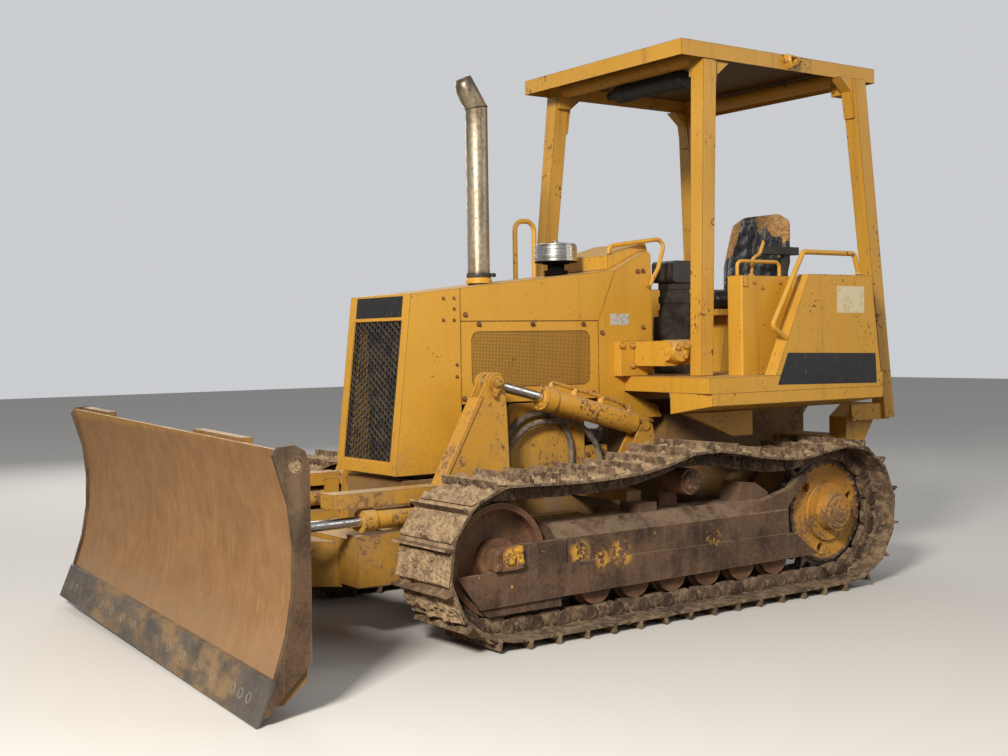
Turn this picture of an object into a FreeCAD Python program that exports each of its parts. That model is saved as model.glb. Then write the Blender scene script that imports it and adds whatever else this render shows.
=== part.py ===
import FreeCAD, Part
import math
import os

# Small crawler bulldozer with an open canopy and a blade that lifts, angles and tilts.
# Millimetres. +X is forward, +Y is the machine's left, +Z is up.
# The model is drawn with x = 0 at the drive sprocket's axle, y = 0 in the middle of the machine
# and z = 0 on the ground, and moved back by origin_ahead_of_axle when it is written out.

# Driving dimensions
origin_ahead_of_axle = 1408.0

# Tracks and running gear
track_gauge = 1500.0
shoe_width = 406.0
shoe_count = 40
shoe_thickness = 12.0
grouser_height = 38.0
pin_to_shoe = 29.0
rail_above_pin = 38.0
rail_width = 30.0
rail_offset = 60.0
sprocket_pin_radius = 313.0
idler_pin_radius = 291.0
idler_ahead = 2115.0
upper_run = ((360.0, 657.0), (540.0, 672.0), (690.0, 694.0), (850.0, 728.0), (1040.0, 738.0),
             (1320.0, 668.0), (1620.0, 649.0), (1900.0, 650.0))
carrier_centre = (1000.0, 622.0)
carrier_radius = 62.0
roller_radius = 90.0
roller_flange_radius = 104.0
roller_ahead = (430.0, 660.0, 890.0, 1120.0, 1350.0, 1580.0)
sprocket_teeth = 25
sprocket_width = 46.0
sprocket_disc_radius = 262.0
idler_width = 84.0
roller_fit = 0.3

# Main frame, engine and hood
frame_half_width = 262.0
frame_front = 2225.0
frame_rear = -430.0
belly_height = 290.0
rail_top_height = 668.0
cover_depth = 50.0
hose_radius = 14.0
hood_half_width = 273.0
sheet = 6.0
hood_flange_height = 1392.0
hood_front_low = (2273.0, 744.0)
hood_front_top = (2181.0, hood_flange_height + 124)
hood_bottom_height = 694.0
hood_rear_top = (968.0, hood_flange_height + 253)
hood_seam_ahead = 1915.0
panel_rear_low = (1083.0, 1005.0)
panel_gap = 3.0
grille_half_width = 214.0
grille_low_height = 756.0
grille_top_height = 1396.0

cowl_top = hood_rear_top[1] + 101
exhaust_place = 1616.0
exhaust_radius = 46.0
exhaust_mitre = 2441.0
exhaust_tip = 138.0
exhaust_lean = 24.0
precleaner_place = 1133.0
console_rear = 400.0

# Platform, fenders and canopy
platform_half_width = 950.0
platform_top = 1109.0
platform_depth = 75.0
platform_front_inner = 917.0
platform_front_outer = 982.0
platform_rear = -262.0
fender_top = 1603.0
fender_box_inner = 700.0
fender_box_outer = 800.0
fender_side_width = 75.0
roof_front = 837.0
roof_rear = -608.0
roof_half_width = 634.0
roof_top = 2755.0
roof_edge_depth = 78.0
roof_sheet = 5.0

# Blade, its frame and its cylinders
lift_pivot = (1040.0, 400.0)
lift_plane = 440.0
lift_eye = (1870.0, 1106.0)
lift_rear_pin = (968.0, 870.0)
lift_clevis_half = 26.0
tower_inner = 376.0
tower_outer = 517.0
lift_barrel_length = 628.0
lift_barrel_radius = 53.0
lift_rod_radius = 24.0
lift_rod_length = 667.0
arm_inner = 395.0
arm_outer = 487.0
arm_low = 320.0
arm_top = 480.0
arm_neck_top = 440.0
bridge_low = 605.0
bridge_top = 640.0
nose_ahead = 2860.0
nose_height = 342.0
arm_front = nose_ahead - 260
nose_half_height = 98.0
nose_radius = 92.0
king_pin_radius = 38.0
tilt_height = 350.0
tilt_pin_radius = 45.0
yoke_front = nose_ahead + 138.0
angle_rear_pin = (nose_ahead - 910.0, 438.0)
angle_eye = (nose_ahead + 40.0, 505.0)
angle_height = 543.0
angle_clevis_half = 28.0
angle_barrel_length = 632.0
angle_barrel_radius = 42.0
angle_rod_radius = 22.0
angle_rod_length = 664.0
tilt_plane = nose_ahead + 232.0
tilt_barrel_pin = (-110.0, 700.0)
tilt_eye = (-640.0, 640.0)
tilt_clevis_half = 24.0
tilt_barrel_length = 330.0
tilt_barrel_radius = 42.0
tilt_rod_radius = 20.0
tilt_rod_length = 400.0
blade_width = 2660.0
blade_height = 940.0
blade_edge_ahead = nose_ahead + 500.0
blade_top_ahead = nose_ahead + 423.0
blade_hollow = 106.0
blade_plate = 14.0
blade_edge_height = 150.0
blade_foot = 24.0
blade_cut = 34.0
blade_edge_plate = 20.0
end_plate = 18.0
end_plate_rear = nose_ahead + 300.0
rest_yaw = -3.8
rest_tilt = -1.0

# Fuel tank and seat
tank_rear = -612.0
tank_front = -420.0
tank_top = 1590.0
tank_half_width = 640.0
seat_back_place = -250.0

# Clearances
pin_play = 0.08
side_play = 0.3
seat_gap = 0.3

V = FreeCAD.Vector
UP = V(0, 0, 1)
AHEAD = V(1, 0, 0)
LEFT = V(0, 1, 0)
track_middle = track_gauge / 2
sprocket_height = sprocket_pin_radius + pin_to_shoe + shoe_thickness + grouser_height
idler_height = idler_pin_radius + pin_to_shoe + shoe_thickness + grouser_height
rail_height = sprocket_height - sprocket_pin_radius + rail_above_pin


def box(x0, x1, y0, y1, z0, z1):
    return Part.makeBox(x1 - x0, y1 - y0, z1 - z0, V(x0, y0, z0))


def face_of(points):
    return Part.Face(Part.makePolygon(points + [points[0]]))


def prism_y(outline, y0, y1):
    """Extrudes an outline of (x, z) points from y0 to y1."""
    return face_of([V(x, y0, z) for x, z in outline]).extrude(V(0, y1 - y0, 0))


def prism_x(outline, x0, x1):
    """Extrudes an outline of (y, z) points from x0 to x1."""
    return face_of([V(x0, y, z) for y, z in outline]).extrude(V(x1 - x0, 0, 0))


def prism_z(outline, z0, z1):
    """Extrudes an outline of (x, y) points from z0 to z1."""
    return face_of([V(x, y, z0) for x, y in outline]).extrude(V(0, 0, z1 - z0))


def rod(start, end, radius):
    """A round bar between two points."""
    along = V(*end) - V(*start)
    return Part.makeCylinder(radius, along.Length, V(*start), along)


def turned(axis_point, along, steps):
    """A turned piece: steps of (radius, start, end) along an axis through a point."""
    direction = V(*along)
    pieces = [
        Part.makeCylinder(radius, end - start, V(*axis_point) + direction * start, direction)
        for radius, start, end in steps
    ]
    return fused(pieces)


def fused(shapes):
    if len(shapes) == 1:
        return shapes[0]
    return shapes[0].multiFuse(shapes[1:]).removeSplitter()


def tube(points, radius, bend):
    """A round bar bent at each inner point, by one radius or by one for each: runs joined by tangent arcs."""
    route = [V(*p) for p in points]
    bends = bend if isinstance(bend, tuple) else (bend,) * (len(points) - 2)
    edges = []
    last = route[0]
    for before, corner, after, bend_radius in zip(route, route[1:], route[2:], bends):
        into = (corner - before).normalize()
        out = (after - corner).normalize()
        half_turn = into.getAngle(out) / 2
        reach = bend_radius * math.tan(half_turn)
        start = corner - into * reach
        end = corner + out * reach
        middle_way = (out - into).normalize()
        middle = corner + middle_way * (bend_radius / math.cos(half_turn) - bend_radius)
        edges.append(Part.makeLine(last, start))
        edges.append(Part.Arc(start, middle, end).toShape())
        last = end
    edges.append(Part.makeLine(last, route[-1]))
    first_way = (route[1] - route[0]).normalize()
    section = Part.Wire(Part.makeCircle(radius, route[0], first_way))
    return Part.Wire(edges).makePipeShell([section], True, False)


def mirrored(shape):
    return shape.mirror(V(0, 0, 0), LEFT)


def both_sides(shape):
    """A piece and its copy on the other side of the machine."""
    return [shape, mirrored(shape)]


def rounded(shape, radius, along):
    """Rounds the edges of a shape that run along one axis."""
    edges = []
    for edge in shape.Edges:
        if edge.Curve.TypeId != "Part::GeomLine":
            continue
        direction = edge.tangentAt(edge.FirstParameter)
        if abs(direction.dot(along)) > 0.999:
            edges.append(edge)
    return shape.makeFillet(radius, edges)


def hood_line(x):
    """Height of the hood's top at a place along the machine."""
    rise = (hood_rear_top[1] - hood_front_top[1]) / (hood_front_top[0] - hood_rear_top[0])
    return hood_front_top[1] + rise * (hood_front_top[0] - x)


def hood_face(z):
    """Place of the hood's leaning front face at a height."""
    lean = (hood_front_top[0] - hood_front_low[0]) / (hood_front_top[1] - hood_front_low[1])
    return hood_front_low[0] + lean * (z - hood_front_low[1])


# Track loop
def arc_points(centre, radius, start, end, count):
    angles = [math.radians(start + (end - start) * i / count) for i in range(count + 1)]
    return [(centre[0] + radius * math.cos(a), centre[1] + radius * math.sin(a)) for a in angles]


def leaving_angle(centre, radius, target, side):
    """Angle on a circle at which a straight run to a target leaves it."""
    far = math.dist(centre, target)
    toward = math.atan2(target[1] - centre[1], target[0] - centre[0])
    return math.degrees(toward + side * math.acos(radius / far))


def pin_line():
    """The closed line through the chain's pins, from the sprocket's foot, clockwise seen from the left."""
    steps = 60
    rear_centre = (0, sprocket_height)
    front_centre = (idler_ahead, idler_height)
    leaves = leaving_angle(rear_centre, sprocket_pin_radius, upper_run[0], 1)
    lands = leaving_angle(front_centre, idler_pin_radius, upper_run[-1], -1)
    rear = arc_points(rear_centre, sprocket_pin_radius, 270, leaves, steps)
    front = arc_points(front_centre, idler_pin_radius, lands, -90, steps)
    return rear + list(upper_run) + front


def even_pins(line, count):
    """Places a number of pins at even steps along a closed line."""
    closed = line + [line[0]]
    lengths = [math.dist(a, b) for a, b in zip(closed, closed[1:])]
    step = sum(lengths) / count
    pins = []
    done = 0.0
    wanted = step / 2
    for a, b, length in zip(closed, closed[1:], lengths):
        while wanted <= done + length and len(pins) < count:
            share = (wanted - done) / length
            pins.append((a[0] + (b[0] - a[0]) * share, a[1] + (b[1] - a[1]) * share))
            wanted += step
        done += length
    return pins


def along_links(pins, profile):
    """Carries a link's profile of (along, outward) points round all the links.

    Along is a share of the pitch from the link's middle, outward is in millimetres.
    """
    outline = []
    for a, b in zip(pins, pins[1:] + pins[:1]):
        pitch = math.dist(a, b)
        ahead = ((b[0] - a[0]) / pitch, (b[1] - a[1]) / pitch)
        outward = (-ahead[1], ahead[0])
        middle = ((a[0] + b[0]) / 2, (a[1] + b[1]) / 2)
        for share, out in profile:
            x = middle[0] + ahead[0] * share * pitch + outward[0] * out
            z = middle[1] + ahead[1] * share * pitch + outward[1] * out
            outline.append((x, z))
    return outline


def ring_prism(outer, inner, y0, y1):
    """Extrudes the band between two closed outlines of (x, z) points."""
    around = face_of([V(x, y0, z) for x, z in outer])
    within = face_of([V(x, y0, z) for x, z in inner])
    return around.cut(within).extrude(V(0, y1 - y0, 0))


track_pins = even_pins(pin_line(), shoe_count)
track_pitch = math.dist(track_pins[0], track_pins[1])


def track():
    """One track on the left: its shoes and both rails of its chain in one loop."""
    pins = track_pins
    plate_outer = pin_to_shoe + shoe_thickness
    tip = plate_outer + grouser_height
    shoe = [(-0.47, plate_outer), (-0.32, plate_outer), (-0.29, tip), (-0.23, tip),
            (-0.20, plate_outer), (0.47, plate_outer), (0.5, pin_to_shoe + shoe_thickness / 3)]
    link = [(-0.36, -rail_above_pin), (0.36, -rail_above_pin), (0.5, -rail_above_pin / 3)]
    outer = along_links(pins, shoe)
    seat = along_links(pins, [(-0.44, pin_to_shoe), (0.44, pin_to_shoe)])
    inner = along_links(pins, link)
    half = shoe_width / 2
    band = ring_prism(outer, seat, track_middle - half, track_middle + half)
    rails = []
    for side in (-1, 1):
        middle = track_middle + side * rail_offset
        rails.append(ring_prism(seat, inner, middle - rail_width / 2, middle + rail_width / 2))
    return fused([band] + rails)


def sprocket():
    """Left drive sprocket: toothed ring, dished disc with three round holes and a hub cap."""
    root = sprocket_pin_radius - 30
    crest = sprocket_pin_radius + 18
    pitch = 360.0 / sprocket_teeth
    tooth = ((root, -0.5), (root, -0.24), (crest, -0.09), (crest, 0.09), (root, 0.24))
    outline = []
    for i in range(sprocket_teeth):
        for radius, share in tooth[1:]:
            angle = math.radians((i + share) * pitch)
            outline.append((radius * math.cos(angle), sprocket_height + radius * math.sin(angle)))
    half = sprocket_width / 2
    ring = prism_y(outline, track_middle - half, track_middle + half)
    axle = (0, 0, sprocket_height)
    ring = ring.cut(turned(axle, (0, 1, 0), [(238, 600, 900)]))
    disc_inner = track_middle - 8
    disc_outer = track_middle + 34
    disc = turned(axle, (0, 1, 0), [(sprocket_disc_radius, track_middle + half, disc_outer),
                                   (240, disc_inner, track_middle + half),
                                   (150, disc_outer, disc_outer + 22),
                                   (96, disc_outer + 22, 872)])
    for degrees in (42, 162, 282):
        x = 192 * math.cos(math.radians(degrees))
        z = sprocket_height + 192 * math.sin(math.radians(degrees))
        disc = disc.cut(rod((x, disc_inner - 5, z), (x, disc_outer + 5, z), 24))
    return fused([ring, disc])


def idler():
    """Left front idler: rim with a middle flange, web, hub and its two bearing blocks."""
    tread = math.sqrt(idler_pin_radius ** 2 - (track_pitch / 2) ** 2) - rail_above_pin - roller_fit
    axle = (idler_ahead, 0, idler_height)
    middle = track_middle
    wheel = turned(axle, (0, 1, 0), [(tread, middle - idler_width, middle + idler_width),
                                     (tread + 16, middle - 38, middle + 38)])
    hollow = turned(axle, (0, 1, 0), [(tread - 26, middle + 30, middle + idler_width + 5),
                                      (tread - 26, middle - idler_width - 5, middle - 30)])
    hub = turned(axle, (0, 1, 0), [(92, middle - idler_width, middle + idler_width),
                                   (34, middle - 120, middle + 124)])
    block_high = idler_height + idler_block_rise
    outer_block = box(idler_ahead - 88, idler_ahead + 62, middle + 88, middle + 138,
                      idler_block_low, block_high)
    inner_block = box(idler_ahead - 88, idler_ahead + 62, middle - 138, middle - 88,
                      idler_block_low, block_high)
    return fused([wheel.cut(hollow), hub, rounded(outer_block, 14, LEFT),
                  rounded(inner_block, 14, LEFT)])


idler_block_rise = 62.0
idler_block_low = idler_height - 38


def lower_roller(x):
    middle = track_middle
    height = rail_height + roller_radius + roller_fit
    return turned((x, 0, height), (0, 1, 0), [
        (roller_radius, middle - 78, middle + 78),
        (roller_flange_radius, middle - 40, middle - 24),
        (roller_flange_radius, middle + 24, middle + 40),
        (44, middle - 84 + seat_gap, middle + 84 - seat_gap),
    ])


def carrier_roller():
    """Upper roller on its bracket, with an end cap."""
    middle = track_middle
    x, z = carrier_centre
    roller = turned((x, 0, z), (0, 1, 0), [
        (carrier_radius, middle - 70, middle + 86),
        (48, middle + 86, middle + 100),
        (30, middle - 100, middle - 70),
    ])
    post = prism_y([(x - 60, track_frame_top + seat_gap), (x + 60, track_frame_top + seat_gap),
                    (x + 36, z + 36), (x - 36, z + 36)], track_frame_inner, middle - 74)
    return fused([roller, post])


case_top = 955.0
track_frame_top = 494.0
saddle_top = 536.0
track_frame_inner = 652.0
track_frame_outer = 852.0


def track_frame():
    """Left roller frame: bevelled box, idler arms, long outer guard and front roller guard."""
    low = 218.0
    bevel = 62.0
    outline = [(track_frame_inner, low), (track_frame_outer, low),
               (track_frame_outer, track_frame_top - bevel), (track_frame_outer - bevel, track_frame_top),
               (track_frame_inner, track_frame_top)]
    rear = 352.0
    front = 1822.0
    body = prism_x(outline, rear, front)
    roller_room = roller_flange_radius + 12
    roller_height = rail_height + roller_radius
    for x in roller_ahead:
        body = body.cut(turned((x, 0, roller_height), (0, 1, 0),
                               [(roller_room, track_middle - 84, track_middle + 84)]))
    body = body.cut(box(rear - 10, front + 10, track_middle - 84, track_middle + 84, low - 10, low + 40))
    arm_low = idler_height - 112
    arm_high = idler_height + idler_block_rise
    arms = []
    for y0, y1 in ((track_middle - 118, track_middle - 88), (track_middle + 88, track_middle + 118)):
        under_block = idler_block_low - seat_gap
        arm = prism_y([(front - 40, low), (front, low), (idler_ahead + 70, arm_low),
                       (idler_ahead + 70, under_block), (idler_ahead - 92, under_block),
                       (idler_ahead - 92, arm_high), (front, track_frame_top - bevel),
                       (front - 40, track_frame_top - bevel)], y0, y1)
        arms.append(arm)
    guard = prism_y([(150, 196), (326, 318), (2352, 326), (2238, 178), (1740, 184)], 853, 868)
    guard_seat = box(rear, front, track_frame_outer - 10, 856, low + 20, 318)
    front_guard = prism_y([(1800, low + 30), (2180, arm_low + 30), (2235, 178), (2190, 140),
                           (1800, 140)], track_middle + 84, 853)
    pieces = [body, guard, guard_seat, front_guard] + arms
    saddle = box(1170, 1290, track_frame_inner, track_middle + 40, track_frame_top - 5, saddle_top)
    pieces.append(rounded(saddle, 12, UP))
    pieces.append(prism_y([(600, 440), (600, 478), (528, 492), (323, 540), (262, 594), (212, 607), (232, 560),
                           (300, 500), (356, 432)], 806, 846))
    pieces.append(prism_y([(425, track_frame_top - 5), (645, track_frame_top - 5), (617, 588), (519, 576),
                           (435, 525)], 664, 790))
    return fused(pieces)


def equalizer_bar():
    """Bar across the machine that rests on a saddle on each roller frame."""
    low = saddle_top + seat_gap
    outline = [(-690, low), (690, low), (690, low + 48), (320, low + 85), (-320, low + 85), (-690, low + 48)]
    return prism_x(outline, 1185, 1275)


def final_drive():
    """Left final drive housing between the main case and the sprocket."""
    return turned((0, 0, sprocket_height), (0, 1, 0), [
        (235, frame_half_width, 420),
        (205, 420, 560),
        (228, 560, 640),
        (120, 640, track_middle - 8),
    ])


def main_frame():
    """Rear case, two side rails, belly guard and front cross member, welded together."""
    case = prism_y([(frame_rear, 350), (frame_rear + 60, belly_height), (620, belly_height),
                    (620, 900), (430, case_top), (frame_rear + 16, case_top), (frame_rear, case_top - 16)],
                   -frame_half_width, frame_half_width)
    rails = []
    rail_outline = [(600, belly_height + 20), (2080, belly_height + 20), (frame_front, 430),
                    (frame_front, rail_top_height), (600, rail_top_height)]
    for side in (-1, 1):
        inner = side * (frame_half_width - 50)
        outer = side * frame_half_width
        rails.append(prism_y(rail_outline, min(inner, outer), max(inner, outer)))
    belly = prism_y([(560, belly_height), (2085, belly_height), (frame_front + 12, 430),
                     (frame_front, 442), (2080, belly_height + 24), (560, belly_height + 24)],
                    -frame_half_width, frame_half_width)
    cross = box(frame_front - 70, frame_front, -frame_half_width, frame_half_width, 440, rail_top_height)
    front_bed = box(1150, 1250, -frame_half_width, frame_half_width, 630, rail_top_height)
    shelf = prism_y([(frame_rear, 740), (frame_rear, case_top), (tank_rear + 20, case_top),
                     (tank_rear + 20, 920)], 150, 174)
    frame = fused([case, belly, cross, front_bed] + rails + both_sides(shelf))
    bar_top = saddle_top + 85 + 2 * seat_gap
    bar_room = prism_x([(-720, 526), (720, 526), (720, bar_top - 37), (320, bar_top), (-320, bar_top),
                        (-720, bar_top - 37)], 1184, 1276)
    frame = frame.cut(bar_room)
    pins = []
    for side in (-1, 1):
        x, z = lift_pivot
        start = (x, side * (frame_half_width - 40), z)
        end = (x, side * (arm_outer + 22), z)
        pins.append(rod(start, end, 44))
        pins.append(rod(start, (x, side * (arm_inner - 6), z), 72))
        pins.append(rod((x, side * (arm_outer + 6), z), end, 62))
    return fused([frame] + pins)


def side_housing():
    """Left cover on the frame's side, with the bracket of the lift cylinder's rear pin."""
    y0 = frame_half_width
    y1 = y0 + cover_depth
    cover = prism_y([(1668, 642), (1668, 945), (1636, 996), (1290, 996), (1215, 900), (1215, 642)], y0, y1)
    x, z = lift_rear_pin
    half = lift_clevis_half
    lug_outline = [(x - 100, 668), (x + 150, 668), (x + 44, z - 36), (x + 40, z + 16),
                   (x + 20, z + 40), (x - 20, z + 42), (x - 44, z + 14)]
    foot = box(x - 100, x + 150, y0, lift_plane + half + 18, 642, 700)
    foot = fused([foot, box(x + 140, 1225, y0, y1, 642, 700)])
    clamp = box(x + 102, x + 242, y0, y1, 690, 772)
    inner_lug = prism_y(lug_outline, lift_plane - half - 18, lift_plane - half)
    outer_lug = prism_y(lug_outline, lift_plane + half, lift_plane + half + 18)
    pin = rod((x, lift_plane - half - 24, z), (x, lift_plane + half + 26, z), 25)
    return fused([cover, foot, clamp, inner_lug, outer_lug, pin])


def angle_hoses():
    """Two hoses of the left angle cylinder, arched over the cover by the frame's side."""
    hoses = []
    entry = frame_half_width + seat_gap
    near = frame_half_width + cover_depth + seat_gap + hose_radius
    for middle, reach, rise, low, arch, y in ((1510, 200, 945, 615, 190, near),
                                              (1445, 298, 907, 618, 245, near + 2 * hose_radius + seat_gap)):
        front = middle + reach
        rear = middle - reach
        hoses.append(tube([(front, entry, low), (front, y, low), (front, y, rise), (rear, y, rise),
                           (rear, y, low), (rear, entry, low)], hose_radius, (30, arch, arch, 30)))
    return hoses


def engine_block():
    return box(1190, 1860, -165, 165, rail_top_height + seat_gap, hood_flange_height - 102)


def radiator():
    return box(2030, 2120, -225, 225, rail_top_height + seat_gap, hood_flange_height + 48)


def nose_shell():
    """Grille surround: side sheets, top and a framed front with the grille's opening."""
    outline = [(hood_seam_ahead, hood_bottom_height), (hood_face(hood_front_low[1]), hood_bottom_height),
               hood_front_low, hood_front_top, (hood_seam_ahead, hood_line(hood_seam_ahead))]
    outside = prism_y(outline, -hood_half_width, hood_half_width)
    top = hood_line(hood_seam_ahead) - sheet
    inner_front = hood_front_low[0] - sheet
    inside = prism_y([(hood_seam_ahead - 10, hood_bottom_height - 10), (inner_front, hood_bottom_height - 10),
                      (inner_front, hood_front_low[1]),
                      (hood_face(hood_front_top[1] - sheet) - sheet, hood_front_top[1] - sheet),
                      (hood_seam_ahead - 10, top)],
                     -hood_half_width + sheet, hood_half_width - sheet)
    shell = outside.cut(inside)
    opening = box(2100, 2400, -grille_half_width, grille_half_width, grille_low_height, grille_top_height)
    lip_side = hood_half_width - sheet
    lip = box(hood_seam_ahead - 14, hood_seam_ahead + 10, lip_side - sheet, lip_side,
              panel_rear_low[1] + 5, hood_flange_height - 45)
    return fused([shell.cut(opening)] + both_sides(lip))


def grille():
    """Grille of six-sided holes, set just inside the front opening."""
    edge = 10.0
    low = grille_low_height - edge
    high = grille_top_height + edge
    depth = 10.0
    behind = sheet + seat_gap
    outline = [(hood_face(low) - behind - depth, low), (hood_face(low) - behind, low),
               (hood_face(high) - behind, high), (hood_face(high) - behind - depth, high)]
    half = grille_half_width + edge
    plate = prism_y(outline, -half, half)
    columns = 9
    across = 2 * (grille_half_width - 8) / (columns + 0.5)
    radius = across / math.sqrt(3) * 0.86
    row_step = across * math.sqrt(3) / 2
    rows = int((grille_top_height - grille_low_height - 20) / row_step)
    holes = []
    for row in range(rows):
        z = grille_low_height + 12 + row_step * (row + 0.5)
        for column in range(columns):
            shift = 0.5 if row % 2 == 0 else 1.0
            y = -grille_half_width + 8 + across * (column + shift)
            corners = [(y + radius * math.sin(math.radians(60 * k)),
                        z + radius * math.cos(math.radians(60 * k))) for k in range(6)]
            holes.append(prism_x(corners, 2140, 2300))
    return plate.cut(Part.makeCompound(holes))


def hood_top():
    """Top of the hood, folded down on both sides to the seam of the engine panels."""
    front = hood_seam_ahead - panel_gap
    rear_low = (1080.0 + panel_gap, hood_flange_height)
    rear_top = (hood_rear_top[0] + panel_gap, hood_line(hood_rear_top[0] + panel_gap))
    outline = [(front, hood_flange_height), (front, hood_line(front)), rear_top, rear_low]
    outside = prism_y(outline, -hood_half_width, hood_half_width)
    inside = prism_y([(front + 10, hood_flange_height - 10), (front + 10, hood_line(front + 10) - sheet),
                      (rear_top[0] - 40, hood_line(rear_top[0] - 40) - sheet),
                      (rear_top[0] - 40, hood_flange_height - 10)],
                     -hood_half_width + sheet, hood_half_width - sheet)
    stack_hole = rod((exhaust_place, 0, 1500), (exhaust_place, 0, 1700), exhaust_radius + seat_gap)
    cleaner_hole = rod((precleaner_place, 0, 1500), (precleaner_place, 0, 1700), 60 + seat_gap)
    shell = outside.cut(inside).cut(stack_hole).cut(cleaner_hole)
    lip = box(1100, 1900, hood_half_width - 2 * sheet, hood_half_width - sheet, hood_flange_height - 30,
              hood_flange_height + 28)
    return fused([shell] + both_sides(lip))


def engine_panel():
    """Left engine panel with a screened window, bolted under the hood's seam."""
    front = hood_seam_ahead - panel_gap
    outline = [(front, panel_rear_low[1]), (front, hood_flange_height - panel_gap),
               (1086, hood_flange_height - panel_gap), (1086, panel_rear_low[1])]
    y1 = hood_half_width
    y0 = hood_half_width - sheet + seat_gap
    panel = prism_y(outline, y0, y1)
    high = hood_flange_height - 50
    window = rounded(box(1140, 1853, y0 - 1, y1 + 1, 1076, high), 40, LEFT)
    screen = rounded(box(1136, 1857, y0 - 3, y0 + 1, 1072, high + 4), 40, LEFT)
    return fused([panel.cut(window), screen])


def exhaust_stack():
    """Straight pipe through the hood on a clamp, with a mitred tip that leans ahead."""
    x = exhaust_place
    radius = exhaust_radius
    wall = 4.0
    low = hood_line(x) - 60
    lean = V(math.sin(math.radians(exhaust_lean)), 0, math.cos(math.radians(exhaust_lean)))
    mitre = V(x, 0, exhaust_mitre)
    pieces = []
    for size, extra in ((radius, 0), (radius - wall, 5)):
        pipe = Part.makeCylinder(size, exhaust_mitre - low + 100 + extra, V(x, 0, low - extra))
        tip = Part.makeCylinder(size, exhaust_tip + 100 + extra, mitre - lean * 100, lean)
        pieces.append((pipe, tip))
    plane = prism_y([(-200, 0), (200, 0), (200, 200), (-200, 200)], -200, 200)
    plane.rotate(V(0, 0, 0), LEFT, exhaust_lean / 2)
    plane.translate(mitre)
    outside = fused([pieces[0][0].cut(plane), pieces[0][1].common(plane)])
    inside = fused([pieces[1][0].cut(plane), pieces[1][1].common(plane)])
    clamp = turned((x, 0, 0), (0, 0, 1), [(radius + 6, hood_line(x) + 8, hood_line(x) + 38)])
    return fused([outside, clamp]).cut(inside)


def precleaner():
    """Air precleaner: bowl on a neck above the air cleaner's inlet."""
    x = precleaner_place
    low = hood_line(x)
    return turned((x, 0, 0), (0, 0, 1), [
        (60, low - 40, low + 26),
        (44, low + 26, low + 58),
        (70, low + 58, low + 66),
        (109, low + 66, low + 148),
        (100, low + 148, low + 158),
    ])


def dash_cowl():
    """Cowl behind the hood: side sheets, sloping top and the instrument box on it."""
    low = 892.0
    outline = [(1083, panel_rear_low[1]), (1083, hood_flange_height), (hood_rear_top[0], hood_rear_top[1]),
               (752, cowl_top), (729, cowl_top - 17), (722, 1300), (722, platform_top + seat_gap),
               (917, platform_top + seat_gap),
               (917, 1030), (696, 953), (665, 896), (665, low), (1083, low)]
    outside = prism_y(outline, -hood_half_width, hood_half_width)
    inside = prism_y([(1093, low - 10), (1093, hood_flange_height),
                      (hood_rear_top[0] + 8, hood_rear_top[1] - 9), (752, cowl_top - 9),
                      (740, cowl_top - 21), (735, 1300), (735, 700), (1093, 700)],
                     -hood_half_width + sheet, hood_half_width - sheet)
    low_inside = box(600, 760, -hood_half_width + sheet, hood_half_width - sheet, 800, 1300)
    shell = outside.cut(inside).cut(low_inside)
    return shell


def instrument_box():
    """Sloping instrument box on the cowl, with its lid towards the seat."""
    half = 205.0
    return prism_y([(960, cowl_top - 95), (960, cowl_top - 24), (705, cowl_top + 52), (690, cowl_top + 6),
                    (752, cowl_top + 2)], -half, half)


def platform():
    """Deck from the cowl to the rear, folded down along its front and sides."""
    half = platform_half_width
    inner_y = hood_half_width + seat_gap
    outline = [(platform_rear, -half), (platform_front_outer, -half), (platform_front_inner, -inner_y),
               (platform_front_inner, inner_y), (platform_front_outer, half), (platform_rear, half)]
    low = platform_top - platform_depth
    deck = prism_z(outline, low, platform_top)
    fold = 8.0
    hollow = prism_z([(platform_rear - 10, -half + fold), (platform_front_outer - fold, -half + fold),
                      (platform_front_inner - fold, -inner_y), (platform_front_inner - fold, inner_y),
                      (platform_front_outer - fold, half - fold), (platform_rear - 10, half - fold)],
                     low - 10, platform_top - fold)
    room = box(721, platform_front_outer + 20, -inner_y, inner_y, low - 20, platform_top + 20)
    return deck.cut(hollow).cut(room)


def fender():
    """Left fender: skirt under the deck, inner box and the sloping side box."""
    deck_low = platform_top - platform_depth
    skirt = prism_x([(664, deck_low), (platform_half_width, deck_low), (platform_half_width, 977),
                     (664, 931)], platform_rear, platform_front_outer - 16)
    inner_box = box(-250, 612, fender_box_inner, fender_box_outer, platform_top, fender_top - 4)
    filler = prism_y([(300, platform_top), (250, fender_top - 4), (-250, fender_top - 4),
                      (-250, platform_top)], fender_box_outer - 1, platform_half_width - fender_side_width + 1)
    side = prism_y([(539, platform_top), (296, fender_top), (-176, fender_top), (-246, platform_top)],
                   platform_half_width - fender_side_width, platform_half_width)
    bracket = prism_y([(900, 931.5), (857, 915), (571, 805), (430, 805), (430, 931.5)], 664, 690)
    return fused([rounded(inner_box, 10, UP), filler, side]), fused([skirt, bracket])


def fuel_tank():
    """Fuel tank across the rear, behind the seat."""
    tank = box(tank_rear, tank_front, -tank_half_width, tank_half_width, case_top + seat_gap, tank_top)
    tank = rounded(tank, 30, LEFT)
    return tank


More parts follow.
